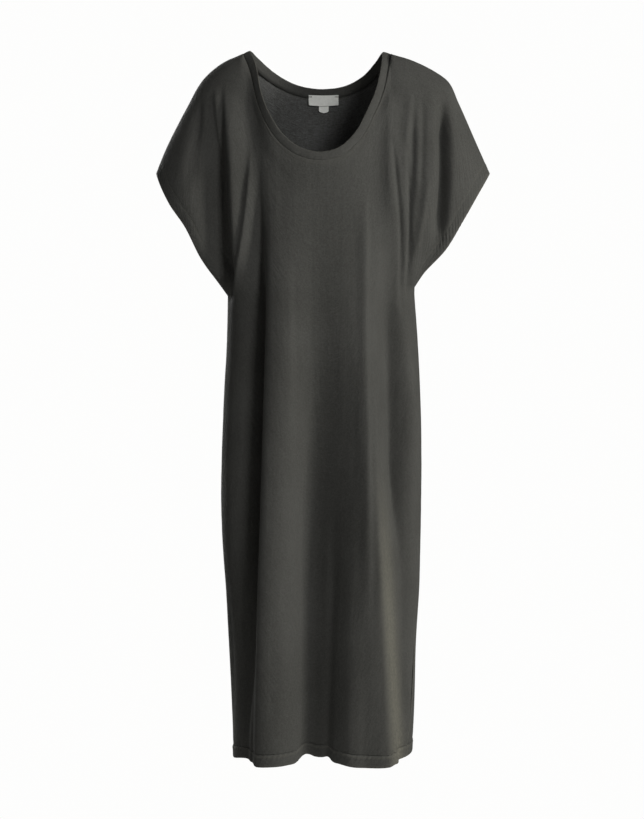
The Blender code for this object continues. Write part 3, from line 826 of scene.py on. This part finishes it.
def dye_group():
    """Garment dye: cloudy over the piece, grainy close up, faded where the cloth is worn, and paler
    where a highlight is painted.
    """
    inputs = (
        ("Place", "Vector"),
        ("Deep", "Color", (*DYE_DEEP, 1)),
        ("Main", "Color", (*DYE_MAIN, 1)),
        ("Faded", "Color", (*DYE_FADED_AND_HIGHLIGHT, 1)),
        ("Shade", "Float"),
        ("Wear", "Float"),
    )
    outputs = (("Color", "Color"), ("Worn", "Float"))
    tree, start = start_group("garment_dye", "ShaderNodeTree", inputs, outputs)
    calc = partial(sums, tree)
    clouds = noise(tree, start["Place"], 9.0, 3.0)
    grain = noise(tree, start["Place"], 340.0, 3.0, 0.7)
    patches = noise(tree, start["Place"], 220.0, 3.0)
    tone = calc("MULTIPLY_ADD", calc("SUBTRACT", clouds, 0.5), 1.1, 0.5)
    tone = calc("MULTIPLY_ADD", calc("SUBTRACT", grain, 0.5), 1.6, tone)
    tone = out_of(tree, "ShaderNodeClamp", {0: calc("ADD", tone, start["Shade"])})
    dyed = mixed(tree, tone, start["Deep"], start["Main"])
    uneven = out_of(tree, "ShaderNodeMapRange", {0: patches, 1: 0.34, 2: 0.66, 3: 0.55, 4: 1.0})
    worn_and_highlight = calc("MULTIPLY", start["Wear"], uneven)
    faded_and_highlight = mixed(tree, worn_and_highlight, dyed, start["Faded"])
    add_node(tree, "NodeGroupOutput", {"Color": faded_and_highlight, "Worn": worn_and_highlight})
    return tree


KNIT = knit_group()
SLUB = slub_group()
DYE = dye_group()


def place_group(tree, group, inputs):
    return add_node(tree, "ShaderNodeGroup", inputs, node_tree=group).outputs


def jersey_material(name, main, slant, slub_long, slub_amount, knit_deep):
    """Matte cotton jersey: knit loops with painted shade in their gaps, slub streaks, garment dye and a
    short soft nap.
    """
    material, tree, shader = new_material(name)
    cloth = out_of(tree, "ShaderNodeUVMap", uv_map="cloth")
    place = add_node(tree, "ShaderNodeTexCoord").outputs["Object"]
    wear = add_node(tree, "ShaderNodeAttribute", attribute_name="wear").outputs["Fac"]
    knit = place_group(tree, KNIT, {"Cloth": cloth, "Slant": slant})
    slub = place_group(tree, SLUB, {"Cloth": cloth, "Long": slub_long, "Amount": slub_amount})
    # The gaps between the wales are painted darker as shade; the slub streaks change the yarn's own
    # tone.
    shade = sums(tree, "MULTIPLY_ADD", knit["Gap"], -0.25, slub["Shade"])
    dye = place_group(tree, DYE, {"Place": place, "Main": (*main, 1), "Shade": shade, "Wear": wear})
    hanging = vectors(tree, "MULTIPLY", cloth, RIPPLE_STRETCH)
    normal = bump(tree, 0.3, 0.0016, noise(tree, hanging, 1.0))
    normal = bump(tree, 0.7, 0.0012, noise(tree, cloth, 60.0, 3.0, 0.6), normal)
    normal = bump(tree, 0.6, 0.0003, slub["Streak"], normal)
    normal = bump(tree, 0.5, knit_deep, knit["Height"], normal)
    finish = {
        "Base Color": dye["Color"],
        "Roughness": sums(tree, "MULTIPLY_ADD", dye["Worn"], -0.08, 0.93),
        "Normal": normal,
        "Metallic": 0.0,
        "Specular IOR Level": 0.22,
        "Sheen Weight": 0.03,
        "Sheen Roughness": 0.45,
        "Sheen Tint": (0.62, 0.62, 0.58, 1),
    }
    set_inputs(shader, finish)
    return material


jersey_face = jersey_material(
    "jersey_face", DYE_MAIN, slant=0.5, slub_long=0.030, slub_amount=0.6, knit_deep=0.00012
)
# The reverse side, whose colour is partly painted light for the shaded inside of the back neck
jersey_reverse_and_light = jersey_material(
    "jersey_reverse_and_light", REVERSE_GREY_AND_LIGHT, slant=0.0, slub_long=0.026, slub_amount=1.7, knit_deep=0.00010
)

# Each panel, from sleeve edge to sleeve edge and from the neck points to the hem stitches
panel_points = {}
for side in ("front", "back"):
    sheet = sewn_panel(side)
    panel = cloth_piece(f"{side}_panel_cloth", sheet, side == "back", (jersey_face, jersey_reverse_and_light))
    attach(panel, "root")
    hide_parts(f"{side}_panel")
    panel_points[side] = sheet[0]


# Turned hems
# The skirt's edge and the two sleeve edges are turned in once, two centimetres deep, and sewn
# down, which leaves a groove along the stitches and small upright puckers below them.

HEM_COLUMNS = 400
HEM_PUCKER_HIGH = 0.00055
# Rows of the profile on the hem's face and at its fold
FACE_ROW, FOLD_ROW = 4, 12
HEM_PROFILE = (
    # below the stitches, out from the panel's face
    (-0.0010, -0.0016),
    (0.0000, -0.0013),
    (0.0010, -0.0005),
    (0.0022, 0.0005),
    (0.0040, 0.0008),
    (0.0065, 0.0006),
    (0.0090, 0.0006),
    (0.0120, 0.0006),
    (0.0150, 0.0006),
    (0.0175, 0.0006),
    (0.0190, 0.0005),
    (0.0197, 0.0001),
    (0.0200, -0.0006),
    (0.0197, -0.0013),
    (0.0190, -0.0017),
    (0.0160, -0.0018),
    (0.0120, -0.0018),
    (0.0080, -0.0018),
    (0.0040, -0.0018),
    (0.0005, -0.0017),
)
SLEEVE_HEM_ROLL = (
    # beyond the edge, out from the panel's face
    (0.0000, -0.0002),
    (0.0006, -0.0006),
    (0.0008, -0.0012),
    (0.0005, -0.0018),
    (-0.0002, -0.0022),
)
SLEEVE_HEM_BEHIND = -0.0023


def ring_run(points):
    """Steps round a closed ring of columns."""
    return np.roll(points, -1, axis=1) - np.roll(points, 1, axis=1)


def skirt_hem():
    """Folded ring below the stitch line, through the front from left to right and the back again."""
    below, offset = np.array(HEM_PROFILE).T
    downs = 2 - (HEM_TURN - below) / SKIRT_TALL
    fine = np.linspace(-90, 90, 721)
    around = []
    for side in ("front", "back"):
        edge = surface(side, fine, np.full_like(fine, 2 - HEM_TURN / SKIRT_TALL))
        reach = lengths_along(edge)
        ends = (0, reach[-1]) if side == "front" else (reach[-1], 0)
        angles = np.interp(np.linspace(*ends, HEM_COLUMNS + 1), reach, fine)[:-1]
        points = surface(side, angles[None, :], downs[:, None])
        around.append((points, unevenness(points, side)))
    points, uneven = (np.concatenate(parts, axis=1) for parts in zip(*around))
    run = ring_run(points)
    fall = np.broadcast_to(points[FOLD_ROW] - points[0], points.shape)
    out = unit(np.cross(run, -fall))
    face = points[FACE_ROW]
    length = np.cumsum(np.linalg.norm(np.diff(face, axis=0, prepend=face[:1]), axis=1))
    length = np.broadcast_to(length, points.shape[:2])
    depth = np.broadcast_to(below[:, None], points.shape[:2])
    ripple = close_to(depth - 0.0045, 0.0055) + 0.45 * close_to(depth - 0.016, 0.006)
    level = offset[:, None] + uneven + HEM_PUCKER_HIGH * ripple * puckers(length, depth, 71)
    columns = np.arange(2 * HEM_COLUMNS)
    from_seam = np.minimum(
        np.minimum(columns, 2 * HEM_COLUMNS - columns), np.abs(columns - HEM_COLUMNS)
    ) * (length[0, -1] / (2 * HEM_COLUMNS))
    level = level - SEAM_DEEP * close_to(from_seam, SEAM_HALF)
    points = points + out * level[..., None]
    run_down = np.concatenate(([0.0], np.cumsum(np.hypot(np.diff(below), np.diff(offset)))))
    cloth = np.stack((length, np.broadcast_to(-run_down[:, None], length.shape)), -1)
    wear = 0.35 * close_to(depth - HEM_TURN, 0.0022) + 0.3 * close_to(depth - 0.0030, 0.0012)
    wear = wear + 0.4 * close_to(from_seam, 0.002)[None, :]
    x, y, z = np.moveaxis(points, -1, 0)
    # The front's faded streak runs on into the hem, where it is also a painted highlight.
    wear = wear + np.where(y < 0, fold_depth(FRONT_RUBBED_AND_HIGHLIGHT, x, z), fold_depth(BACK_RUBBED, x, z))

    # The first column is repeated, so that the cloth's own measure runs on to its end
    last_length = 2 * length[:, -1:] - length[:, -2:-1]
    last_cloth = np.stack((last_length, cloth[:, :1, 1]), -1)
    parts = ((points, points[:, :1]), (cloth, last_cloth), (wear, wear[:, :1]))
    return [np.concatenate(part, axis=1) for part in parts]


def sleeve_hem(sign):
    """Turned edge of one sleeve: down the front from the seam over the arm, and down the back."""
    rows = np.flatnonzero(panel_rows() <= 1.0)
    halves = []
    for side in ("front", "back"):
        points = panel_points[side]
        ways = grid_normals(points, side)
        strip, ways = (
            grid[rows][:, :: -sign][:, : COLUMNS_IN_HEM + 1] for grid in (points, ways)
        )
        beyond = unit(strip[:, 0] - strip[:, 2])
        roll = [strip[:, 0] + beyond * far + ways[:, 0] * high for far, high in SLEEVE_HEM_ROLL]
        inner = strip[:, 1:] + ways[:, 1:] * SLEEVE_HEM_BEHIND
        halves.append(np.concatenate((np.stack(roll, axis=1), inner), axis=1))
    points = np.concatenate((halves[0][::-1], halves[1][1:]))
    points[len(halves[0]) - 1] = (halves[0][0] + halves[1][0]) / 2
    across, below = grid_lengths(points)
    return points, np.stack((across, below), -1), 0.3 * close_to(across, 0.0015)


hems = {"skirt": cloth_piece("skirt_hem", skirt_hem(), False, (jersey_face,))}
for name, sign in (("left", -1), ("right", 1)):
    hems[name] = cloth_piece(f"{name}_sleeve_hem", sleeve_hem(sign), sign > 0, (jersey_reverse_and_light,))
for hem in hems.values():
    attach(hem, "root")


# Neckband
# A strip of the same jersey folded lengthwise, its raw edges caught in the neck seam and its
# fold towards the neck, a little shorter than the neckline so that it stands up and rolls.

# The folded band's width and thickness, its cloth, how far its face stands out past the panel's,
# how far its outer edge tucks in there, and how far both its edges run on beneath the panel
BAND_WIDTH = 0.0138
BAND_THICK = 0.0026
BAND_WALL = 0.0007
BAND_LIFT = 0.0007
BAND_TUCK = 0.0014
BAND_UNDER = 0.0035
BAND_STEPS = 520
BAND_FRAMES = 20


def neck_frames(side, angles):
    """Edge points of the whole neckline, the way out of the cloth, and the way on past its edge."""
    edge = surface(side, angles, 0.0)
    away = AWAY[side]
    run = unit(np.gradient(edge, axis=0))
    run[0] = (0.0, away, 0.0)
    run[-1] = (0.0, -away, 0.0)
    down = surface(side, angles, FOLDS_FADE_DOWN) - edge
    for end, table in ((0, OVER_ARM_LEFT), (-1, OVER_ARM_RIGHT)):
        down[end] = (table[1][0] - table[0][0], 0.0, table[1][1] - table[0][1])
    for _ in range(3):
        down = unit(down - (down * run).sum(-1, keepdims=True) * run)
        down[1:-1] = down[:-2] + 2 * down[1:-1] + down[2:]
    down = unit(down - (down * run).sum(-1, keepdims=True) * run)
    return edge, unit(np.cross(run, down) * away), -down


def neck_path():
    """Closed line of the neck seam, with the ways out and on at each of its points."""
    coarse = np.linspace(-NECK_ANGLE, NECK_ANGLE, BAND_FRAMES + 1)
    fine = np.linspace(-NECK_ANGLE, NECK_ANGLE, BAND_STEPS // 2 + 1)
    parts = []
    for side in ("front", "back"):
        _, out, on = neck_frames(side, coarse)
        edge = surface(side, fine, np.zeros_like(fine))
        part = (edge, unit(curve(coarse, out, fine)), unit(curve(coarse, on, fine)))
        parts.append([rows[:-1] if side == "front" else rows[:0:-1] for rows in part])
    return [np.concatenate((front, back)) for front, back in zip(*parts)]


def path_mesh(name, points, closed, **ways):
    """Line of points with vector attributes, for a node tree to follow."""
    count = len(points)
    edges = [(i, (i + 1) % count) for i in range(count if closed else count - 1)]
    mesh = bpy.data.meshes.new(name)
    mesh.from_pydata(np.asarray(points).tolist(), edges, [])
    for label, values in ways.items():
        kind, key = ("FLOAT_VECTOR", "vector") if np.ndim(values) > 1 else ("FLOAT", "value")
        field = mesh.attributes.new(label, kind, "POINT")
        field.data.foreach_set(key, np.asarray(values, np.float32).ravel())
    return add_object(name, mesh)


def made_by(line, tree, inputs):
    """Plain mesh that a node tree makes from a line, in the line's place."""
    modifier = line.modifiers.new(tree.name, "NODES")
    modifier.node_group = tree
    for item in tree.interface.items_tree:
        if item.item_type == "SOCKET" and item.in_out == "INPUT" and item.name in inputs:
            modifier[item.identifier] = inputs[item.name]
    evaluated = line.evaluated_get(bpy.context.evaluated_depsgraph_get())
    mesh = bpy.data.meshes.new_from_object(evaluated)
    mesh.name = line.name
    line.modifiers.clear()
    line.data = mesh
    return line


def scaled(tree, vector, scale):
    return out_of(tree, "ShaderNodeVectorMath", {0: vector, "Scale": scale}, operation="SCALE")


def named_field(tree, label, kind):
    inputs = {"Name": label}
    return add_node(tree, "GeometryNodeInputNamedAttribute", inputs, data_type=kind).outputs["Attribute"]


def finish_tree(tree, geometry, material):
    """Ends a tree with its geometry as one real mesh in its material."""
    real = out_of(tree, "GeometryNodeRealizeInstances", {0: geometry})
    real = out_of(tree, "GeometryNodeSetShadeSmooth", {0: real})
    real = out_of(tree, "GeometryNodeSetMaterial", {"Geometry": real, "Material": material})
    add_node(tree, "NodeGroupOutput", {"Geometry": real})
    return tree


def folded_band_tree():
    """Folded strip swept along a closed line: out over its face, round its fold and back inside."""
    inputs = (
        ("Geometry", "Geometry"),
        ("Steps", "Int", BAND_STEPS),
        ("Around", "Int", 22),
        ("Width", "Float", BAND_WIDTH),
        ("Thick", "Float", BAND_THICK),
        ("Lift", "Float", BAND_LIFT),
        ("Tuck", "Float", BAND_TUCK),
        ("Under", "Float", BAND_UNDER),
        ("Uneven", "Float", 0.0003),
        ("Length", "Float", 1.0),
        ("Material", "Material"),
    )
    outputs = (("Geometry", "Geometry"),)
    tree, start = start_group("folded_band", "GeometryNodeTree", inputs, outputs)
    calc = partial(sums, tree)
    size = {"Vertices X": calc("ADD", start["Steps"], 1.0), "Vertices Y": start["Around"]}
    grid = add_node(tree, "GeometryNodeMeshGrid", size).outputs["Mesh"]
    index = out_of(tree, "GeometryNodeInputIndex")
    step = calc("FLOOR", calc("DIVIDE", calc("ADD", index, 0.5), start["Around"]))
    place = calc("SUBTRACT", index, calc("MULTIPLY", step, start["Around"]))
    lap = calc("GREATER_THAN", step, calc("SUBTRACT", start["Steps"], 0.5))
    at = calc("SUBTRACT", step, calc("MULTIPLY", lap, start["Steps"]))

    def sample(field, kind="FLOAT_VECTOR"):
        """Value of a field at this step of the line."""
        inputs = {"Geometry": start["Geometry"], "Value": field, "Index": at}
        return add_node(tree, "GeometryNodeSampleIndex", inputs, data_type=kind).outputs["Value"]

    seam = sample(out_of(tree, "GeometryNodeInputPosition"))
    out = sample(named_field(tree, "out", "FLOAT_VECTOR"))
    onward = sample(named_field(tree, "onward", "FLOAT_VECTOR"))
    length = sample(named_field(tree, "along", "FLOAT"), "FLOAT")
    length = calc("MULTIPLY_ADD", lap, start["Length"], length)

    # The turn runs from -1 at the seam outside, through 0 at the fold, to 1 at the seam inside
    last = calc("SUBTRACT", start["Around"], 1.0)
    turn = calc("SUBTRACT", calc("MULTIPLY", calc("DIVIDE", place, last), 2.0), 1.0)
    angle = calc("MULTIPLY", turn, math.pi / 2)
    inward = calc("POWER", calc("ABSOLUTE", calc("COSINE", angle)), 0.62)
    across = calc("POWER", calc("ABSOLUTE", calc("SINE", angle)), 0.72)
    across = calc("MULTIPLY", across, calc("SIGN", turn))
    half = calc("MULTIPLY", start["Thick"], 0.5)
    height = calc("SUBTRACT", start["Lift"], calc("MULTIPLY_ADD", across, half, half))
    at_seam = calc("POWER", calc("SUBTRACT", 1.0, inward), 3.0)
    tucked = calc("MULTIPLY", at_seam, calc("LESS_THAN", turn, 0.0))
    height = calc("SUBTRACT", height, calc("MULTIPLY", tucked, start["Tuck"]))
    reach = calc("MULTIPLY", inward, start["Width"])
    reach = calc("SUBTRACT", reach, calc("MULTIPLY", at_seam, start["Under"]))
    wave = {"W": length, "Scale": 62.0, "Detail": 2.0}
    wave = out_of(tree, "ShaderNodeTexNoise", wave, noise_dimensions="1D")
    wave = calc("MULTIPLY", calc("SUBTRACT", wave, 0.5), start["Uneven"])
    height = calc("ADD", height, wave)
    reach = calc("ADD", reach, calc("MULTIPLY", wave, 2.0))
    point = vectors(tree, "ADD", seam, scaled(tree, onward, reach))
    point = vectors(tree, "ADD", point, scaled(tree, out, height))

    # The band's place on its cloth and its wear, which is greatest on the fold
    across_cloth = calc("MULTIPLY", turn, start["Width"])
    cloth = out_of(tree, "ShaderNodeCombineXYZ", {0: length, 1: across_cloth})
    wear = calc("SUBTRACT", 1.0, calc("MULTIPLY", calc("ABSOLUTE", turn), 4.0))
    wear = calc("MAXIMUM", calc("MULTIPLY", wear, 0.8), 0.0)
    kept = add_node(tree, "GeometryNodeCaptureAttribute", domain="POINT")
    for kind, label in (("VECTOR", "Cloth"), ("VECTOR", "Point"), ("FLOAT", "Wear")):
        kept.capture_items.new(kind, label)
    set_inputs(kept, {"Geometry": grid, "Cloth": cloth, "Point": point, "Wear": wear})
    band = kept.outputs["Geometry"]
    for label, kind, domain in (("Cloth", "FLOAT2", "CORNER"), ("Wear", "FLOAT", "POINT")):
        field = {"Geometry": band, "Name": label.lower(), "Value": kept.outputs[label]}
        band = out_of(tree, "GeometryNodeStoreNamedAttribute", field, data_type=kind, domain=domain)
    band = out_of(tree, "GeometryNodeSetPosition", {"Geometry": band, "Position": kept.outputs["Point"]})
    band = out_of(tree, "GeometryNodeMergeByDistance", {"Geometry": band, "Distance": 1e-6})
    return finish_tree(tree, band, start["Material"])


seam_line, seam_out, seam_on = neck_path()
seam_steps = np.linalg.norm(np.roll(seam_line, -1, axis=0) - seam_line, axis=1)
seam_length = float(seam_steps.sum())
band_along = np.concatenate(([0.0], np.cumsum(seam_steps)[:-1]))
neckband = path_mesh("neckband_cloth", seam_line, True, out=seam_out, onward=seam_on, along=band_along)
band_inputs = {"Steps": len(seam_line), "Length": seam_length, "Material": jersey_face}
neckband = made_by(neckband, folded_band_tree(), band_inputs)
give_wall(neckband, BAND_WALL)
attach(neckband, "root")
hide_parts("neckband")


# Sewing thread
# The hems are sewn down with one row of lockstitch in thread dyed with the cloth. Each stitch
# is a short length of thread that sinks between its needle holes.

# Pitch and length of the stitches, thickness of the thread
STITCH_PITCH = 0.0030
STITCH_LONG = 0.0024
THREAD = 0.00042
THREAD_COLOUR = (0.046, 0.0455, 0.0400)


def thread_material(name, colour):
    """Spun thread: a fine twist across it and a soft gloss."""
    material, tree, shader = new_material(name)
    place = add_node(tree, "ShaderNodeTexCoord").outputs["Object"]
    fibres = noise(tree, place, 2600.0)
    light = tuple(min(1.0, 1.5 * part) for part in colour)
    finish = {
        "Base Color": mixed(tree, fibres, (*colour, 1), (*light, 1)),
        "Normal": bump(tree, 0.5, 0.0001, fibres),
        "Roughness": 0.62,
        "Specular IOR Level": 0.3,
    }
    set_inputs(shader, finish)
    return material


def stitches_tree():
    """Stitches at an even pitch along a line, each lying along it on the face of the cloth."""
    inputs = (
        ("Geometry", "Geometry"),
        ("Pitch", "Float", STITCH_PITCH),
        ("Long", "Float", STITCH_LONG),
        ("Thread", "Float", THREAD),
        ("Uneven", "Float", 0.12),
        ("Seed", "Int", 5),
        ("Material", "Material"),
    )
    outputs = (("Geometry", "Geometry"),)
    tree, start = start_group("stitches", "GeometryNodeTree", inputs, outputs)
    line = out_of(tree, "GeometryNodeMeshToCurve", {0: start["Geometry"]})
    pitch = {"Curve": line, "Length": start["Pitch"]}
    line = out_of(tree, "GeometryNodeResampleCurve", pitch, mode="LENGTH")

    # Each stitch lies along the line with its back to the cloth, a little slanted
    axes = {0: named_field(tree, "out", "FLOAT_VECTOR"), 1: out_of(tree, "GeometryNodeInputTangent")}
    turn = out_of(tree, "FunctionNodeAxesToRotation", axes, primary_axis="Z", secondary_axis="X")
    least = sums(tree, "MULTIPLY", start["Uneven"], -1.0)
    slant = {"Min": least, "Max": start["Uneven"], "Seed": start["Seed"]}
    slant = add_node(tree, "FunctionNodeRandomValue", slant, data_type="FLOAT").outputs["Value"]
    lean = out_of(tree, "FunctionNodeAxisAngleToRotation", {"Axis": (0, 0, 1), "Angle": slant})
    turns = {"Rotation": turn, "Rotate By": lean}
    turn = out_of(tree, "FunctionNodeRotateRotation", turns, rotation_space="LOCAL")
    ball = {"Segments": 6, "Rings": 5, "Radius": 0.5}
    bead = add_node(tree, "GeometryNodeMeshUVSphere", ball).outputs["Mesh"]
    size = {0: start["Long"], 1: start["Thread"], 2: start["Thread"]}
    size = out_of(tree, "ShaderNodeCombineXYZ", size)
    sewn = {"Points": line, "Instance": bead, "Rotation": turn, "Scale": size}
    sewn = out_of(tree, "GeometryNodeInstanceOnPoints", sewn)
    return finish_tree(tree, sewn, start["Material"])


STITCHES = stitches_tree()
hem_thread = thread_material("hem_thread", THREAD_COLOUR)


def sew(name, points, out, closed, **inputs):
    """Stitches of the hem's thread along a line, lying on the side that is out."""
    line = path_mesh(name, points, closed, out=out)
    sewn = made_by(line, STITCHES, {"Material": hem_thread, **inputs})
    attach(sewn, "root")
    return sewn


def panel_line(side, rows, columns):
    """Line of a panel's own points along a row or down a column, with the ways out of the cloth."""
    points = panel_points[side]
    return points[rows, columns], grid_normals(points, side)[rows, columns]


front, back = (panel_line(side, -1, slice(None)) for side in ("front", "back"))
hem_run = [np.concatenate((ahead[:-1], behind[:0:-1])) for ahead, behind in zip(front, back)]
hem_sewing = sew("skirt_hem_stitches", *hem_run, True, Seed=5)
sleeve_rows = np.flatnonzero(panel_rows() <= 1.0)
# Each sleeve's stitched column, and the length of its hem
SLEEVE_STITCHES = (("left", COLUMNS_IN_HEM, 0.57), ("right", -COLUMNS_IN_HEM - 1, 0.55))
for name, place, cut in SLEEVE_STITCHES:
    front, back = (panel_line(side, sleeve_rows, place) for side in ("front", "back"))
    run = [np.concatenate((ahead[::-1], behind[1:])) for ahead, behind in zip(front, back)]
    sleeve_sewing = sew(f"{name}_sleeve_stitches", *run, False, Seed=9)


# Neck label and size tab
# A pale satin-woven label with folded ends, tacked inside the back neck at its two upper
# corners, and a small tab of the same tape below it, both bare.

# Places on the back neck: left, width, top, height
NECK_LABEL = (-0.0230, 0.051, -0.0667, 0.0174)
SIZE_TAB = (-0.0052, 0.0165, -0.0831, 0.0125)
# The tape's thickness, how far it lies in front of the panel's outer face, and its sag
TAPE_THICK = 0.00045
TAPE_NEAR = 0.0024
TAPE_SAG = 0.0015
# The two tacks at the label's upper corners
TACK_WIDE = 0.005
TACK_BELOW = 0.0032
TACK_STITCHES = {"Pitch": 0.0009, "Long": 0.0018, "Thread": 0.0011, "Uneven": 0.9, "Seed": 3}
# How far the back panel leans back below its neck seam, for each metre down
BACK_LEAN = 0.1
TAPE_COLOUR = (0.88, 0.89, 0.85)
TAPE_SHADE = (0.53, 0.54, 0.50)


def tape_material(name):
    """Satin weave: fine upright threads crossed by soft level ones, with a silky sheen."""
    material, tree, shader = new_material(name)
    calc = partial(sums, tree)
    cloth = out_of(tree, "ShaderNodeUVMap", uv_map="cloth")
    warp = {"Vector": cloth, "Scale": 620.0, "Distortion": 0.6}
    warp = add_node(tree, "ShaderNodeTexWave", warp, bands_direction="X").outputs["Fac"]
    weft = {"Vector": cloth, "Scale": 380.0, "Distortion": 1.0}
    weft = add_node(tree, "ShaderNodeTexWave", weft, bands_direction="Y").outputs["Fac"]
    weave = calc("MULTIPLY_ADD", weft, 0.45, calc("MULTIPLY", warp, 0.55))
    dirt = noise(tree, cloth, 180.0, 3.0)
    tone = calc("MULTIPLY_ADD", weave, 0.5, calc("MULTIPLY", dirt, 0.6))
    finish = {
        "Base Color": mixed(tree, tone, (*TAPE_SHADE, 1), (*TAPE_COLOUR, 1)),
        "Normal": bump(tree, 0.4, 0.00008, weave),
        "Roughness": calc("MULTIPLY_ADD", dirt, 0.15, 0.42),
        "Sheen Weight": 0.2,
    }
    set_inputs(shader, finish)
    return material


def back_neck_place(across, height):
    """Points on the back's outer face, below its seam, at places across and at a height."""
    edges = neck_edge("back", np.linspace(-0.6, 0.6, 121))
    seam = np.stack([np.interp(across, edges[:, 0], edges[:, i]) for i in range(3)], -1)
    below = seam[..., 2] - height
    return seam + np.array([0.0, BACK_LEAN, -1.0]) * below[..., None]


def tape_piece(name, place, free, corner, seed):
    """Curved tape whose lower edge stands a little free, with rounded lower corners."""
    left, wide, top, tall = place
    u = np.linspace(0, 1, 41)[None, :]
    v = np.linspace(0, 1, 19)[:, None]
    in_corner = np.clip((v - 1 + corner / tall) * tall / corner, 0, 1)
    round_in = corner * (1 - np.sqrt(1 - in_corner**2))
    across = left + wide * u + (0.5 - u) * 2 * round_in
    sag = TAPE_SAG * np.sin(math.pi * u) * (0.4 + 0.6 * v)
    points = back_neck_place(across, top - tall * v - sag)
    stand = TAPE_NEAR + TAPE_THICK + free * v**1.6
    stand = stand + 0.00025 * soft_noise(u * 5 + 3 + 0 * v, v * 2 + 3, seed)
    stand = stand + 0.0002 * (close_to(u, 0.06) + close_to(1 - u, 0.06))
    points[..., 1] -= stand
    cloth = np.stack((wide * u + 0 * v, -tall * v + 0 * u), -1)
    sheet = (points, cloth, np.zeros(points.shape[:2]))
    piece = cloth_piece(f"{name}_tape", sheet, False, (satin_tape,), TAPE_THICK)
    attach(piece, "root")
    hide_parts(name)


satin_tape = tape_material("satin_tape")
tape_piece("neck_label", NECK_LABEL, free=0.0012, corner=0.0006, seed=3)
tape_piece("size_tab", SIZE_TAB, free=0.0008, corner=0.003, seed=8)
label_left, label_wide, label_top = NECK_LABEL[:3]
for name, left in (("left", label_left + 0.0006), ("right", label_left + label_wide - 0.0056)):
    tack = back_neck_place(np.linspace(left, left + TACK_WIDE, 9), label_top - TACK_BELOW)
    tack[:, 1] -= TAPE_NEAR + TAPE_THICK + 0.0010
    facing = np.broadcast_to(np.array([0.0, -1.0, 0.0]), tack.shape)
    sew(f"label_tack_{name}", tack, facing, False, **TACK_STITCHES)


# Studio
# A pale floor and an even pale surround, with one large soft light from the front right, as
# in a catalogue picture, so that faces turned left fall into shade.

PIXEL = 0.0017
IMAGE_TALL = 819
CAMERA_PLACE = Vector((0.0, -3.3, -0.3932))
CAMERA_AIM = Vector((0.0, 0.0, -0.6018))
FLOOR_LEVEL = cad_low.z - 0.22
FLOOR_HALF = 14.0
LIGHTS_AIM = Vector((0.0, 0.0, -0.6))
LIGHTS = (
    # name, place, wide, tall, power, colour
    ("key_softbox", (3.0, -1.5, 0.3), 0.7, 1.5, 101.0, (1.0, 0.985, 0.935)),
    ("front_fill", (1.6, -3.0, 1.0), 0.9, 1.2, 61.0, (1.0, 1.0, 1.0)),
    ("left_fill", (-2.6, -1.6, 0.8), 1.0, 1.8, 6.0, (1.0, 1.0, 1.0)),
    ("back_light", (-1.5, 2.9, 0.9), 1.4, 1.8, 110.0, (1.0, 1.0, 1.0)),
)
# How bright the surround is to the camera, and how much light it gives
SURROUND_SEEN = 0.985
SURROUND_GIVEN = 0.045
SURROUND_COLOUR = (1, 1, 0.995, 1)


def aim(thing, place, target):
    """Puts a camera or a light in its place, turned to its target."""
    thing.location = place
    thing.rotation_euler = (target - Vector(place)).to_track_quat("-Z", "Y").to_euler()


camera_data = bpy.data.cameras.new("studio_camera")
camera = add_object("studio_camera", camera_data)
aim(camera, CAMERA_PLACE, CAMERA_AIM)
camera_data.sensor_fit = "AUTO"
camera_data.sensor_width = 36.0
camera_data.lens = 36.0 * (CAMERA_AIM - CAMERA_PLACE).length / (IMAGE_TALL * PIXEL) * 1.003
camera_data.clip_end = 60.0
bpy.context.scene.camera = camera

for name, place, wide, tall, power, tint in LIGHTS:
    lamp = bpy.data.lights.new(name, "AREA")
    lamp.shape = "RECTANGLE"
    lamp.size = wide
    lamp.size_y = tall
    lamp.energy = power
    lamp.color = tint
    aim(add_object(name, lamp), place, LIGHTS_AIM)


def studio_world():
    """Pale surround, brighter to the camera than as a light."""
    world = bpy.data.worlds.new("studio_surround")
    world.use_nodes = True
    tree = world.node_tree
    tree.nodes.clear()
    seen = add_node(tree, "ShaderNodeLightPath").outputs["Is Camera Ray"]
    strength = out_of(tree, "ShaderNodeMapRange", {0: seen, 3: SURROUND_GIVEN, 4: SURROUND_SEEN})
    light = out_of(tree, "ShaderNodeBackground", {0: SURROUND_COLOUR, 1: strength})
    add_node(tree, "ShaderNodeOutputWorld", {0: light})
    return world


def floor_material():
    """Painted floor that glows to the camera, so that it runs into the surround."""
    material, tree, _ = new_material("studio_floor")
    tree.nodes.clear()
    paint = out_of(tree, "ShaderNodeBsdfDiffuse", {0: (0.45, 0.45, 0.44, 1)})
    glow = out_of(tree, "ShaderNodeEmission", {0: SURROUND_COLOUR, 1: SURROUND_SEEN})
    seen = add_node(tree, "ShaderNodeLightPath").outputs["Is Camera Ray"]
    mix = out_of(tree, "ShaderNodeMixShader", {0: seen, 1: paint, 2: glow})
    add_node(tree, "ShaderNodeOutputMaterial", {0: mix})
    return material


bpy.context.scene.world = studio_world()
floor_mesh = bpy.data.meshes.new("studio_floor")
floor_mesh.from_pydata(
    [(x * FLOOR_HALF, y * FLOOR_HALF, FLOOR_LEVEL) for x, y in ((-1, -1), (1, -1), (1, 1), (-1, 1))],
    [],
    [(0, 1, 2, 3)],
)
floor_mesh.materials.append(floor_material())
add_object("studio_floor", floor_mesh)
bpy.context.scene.view_settings.view_transform = "Standard"
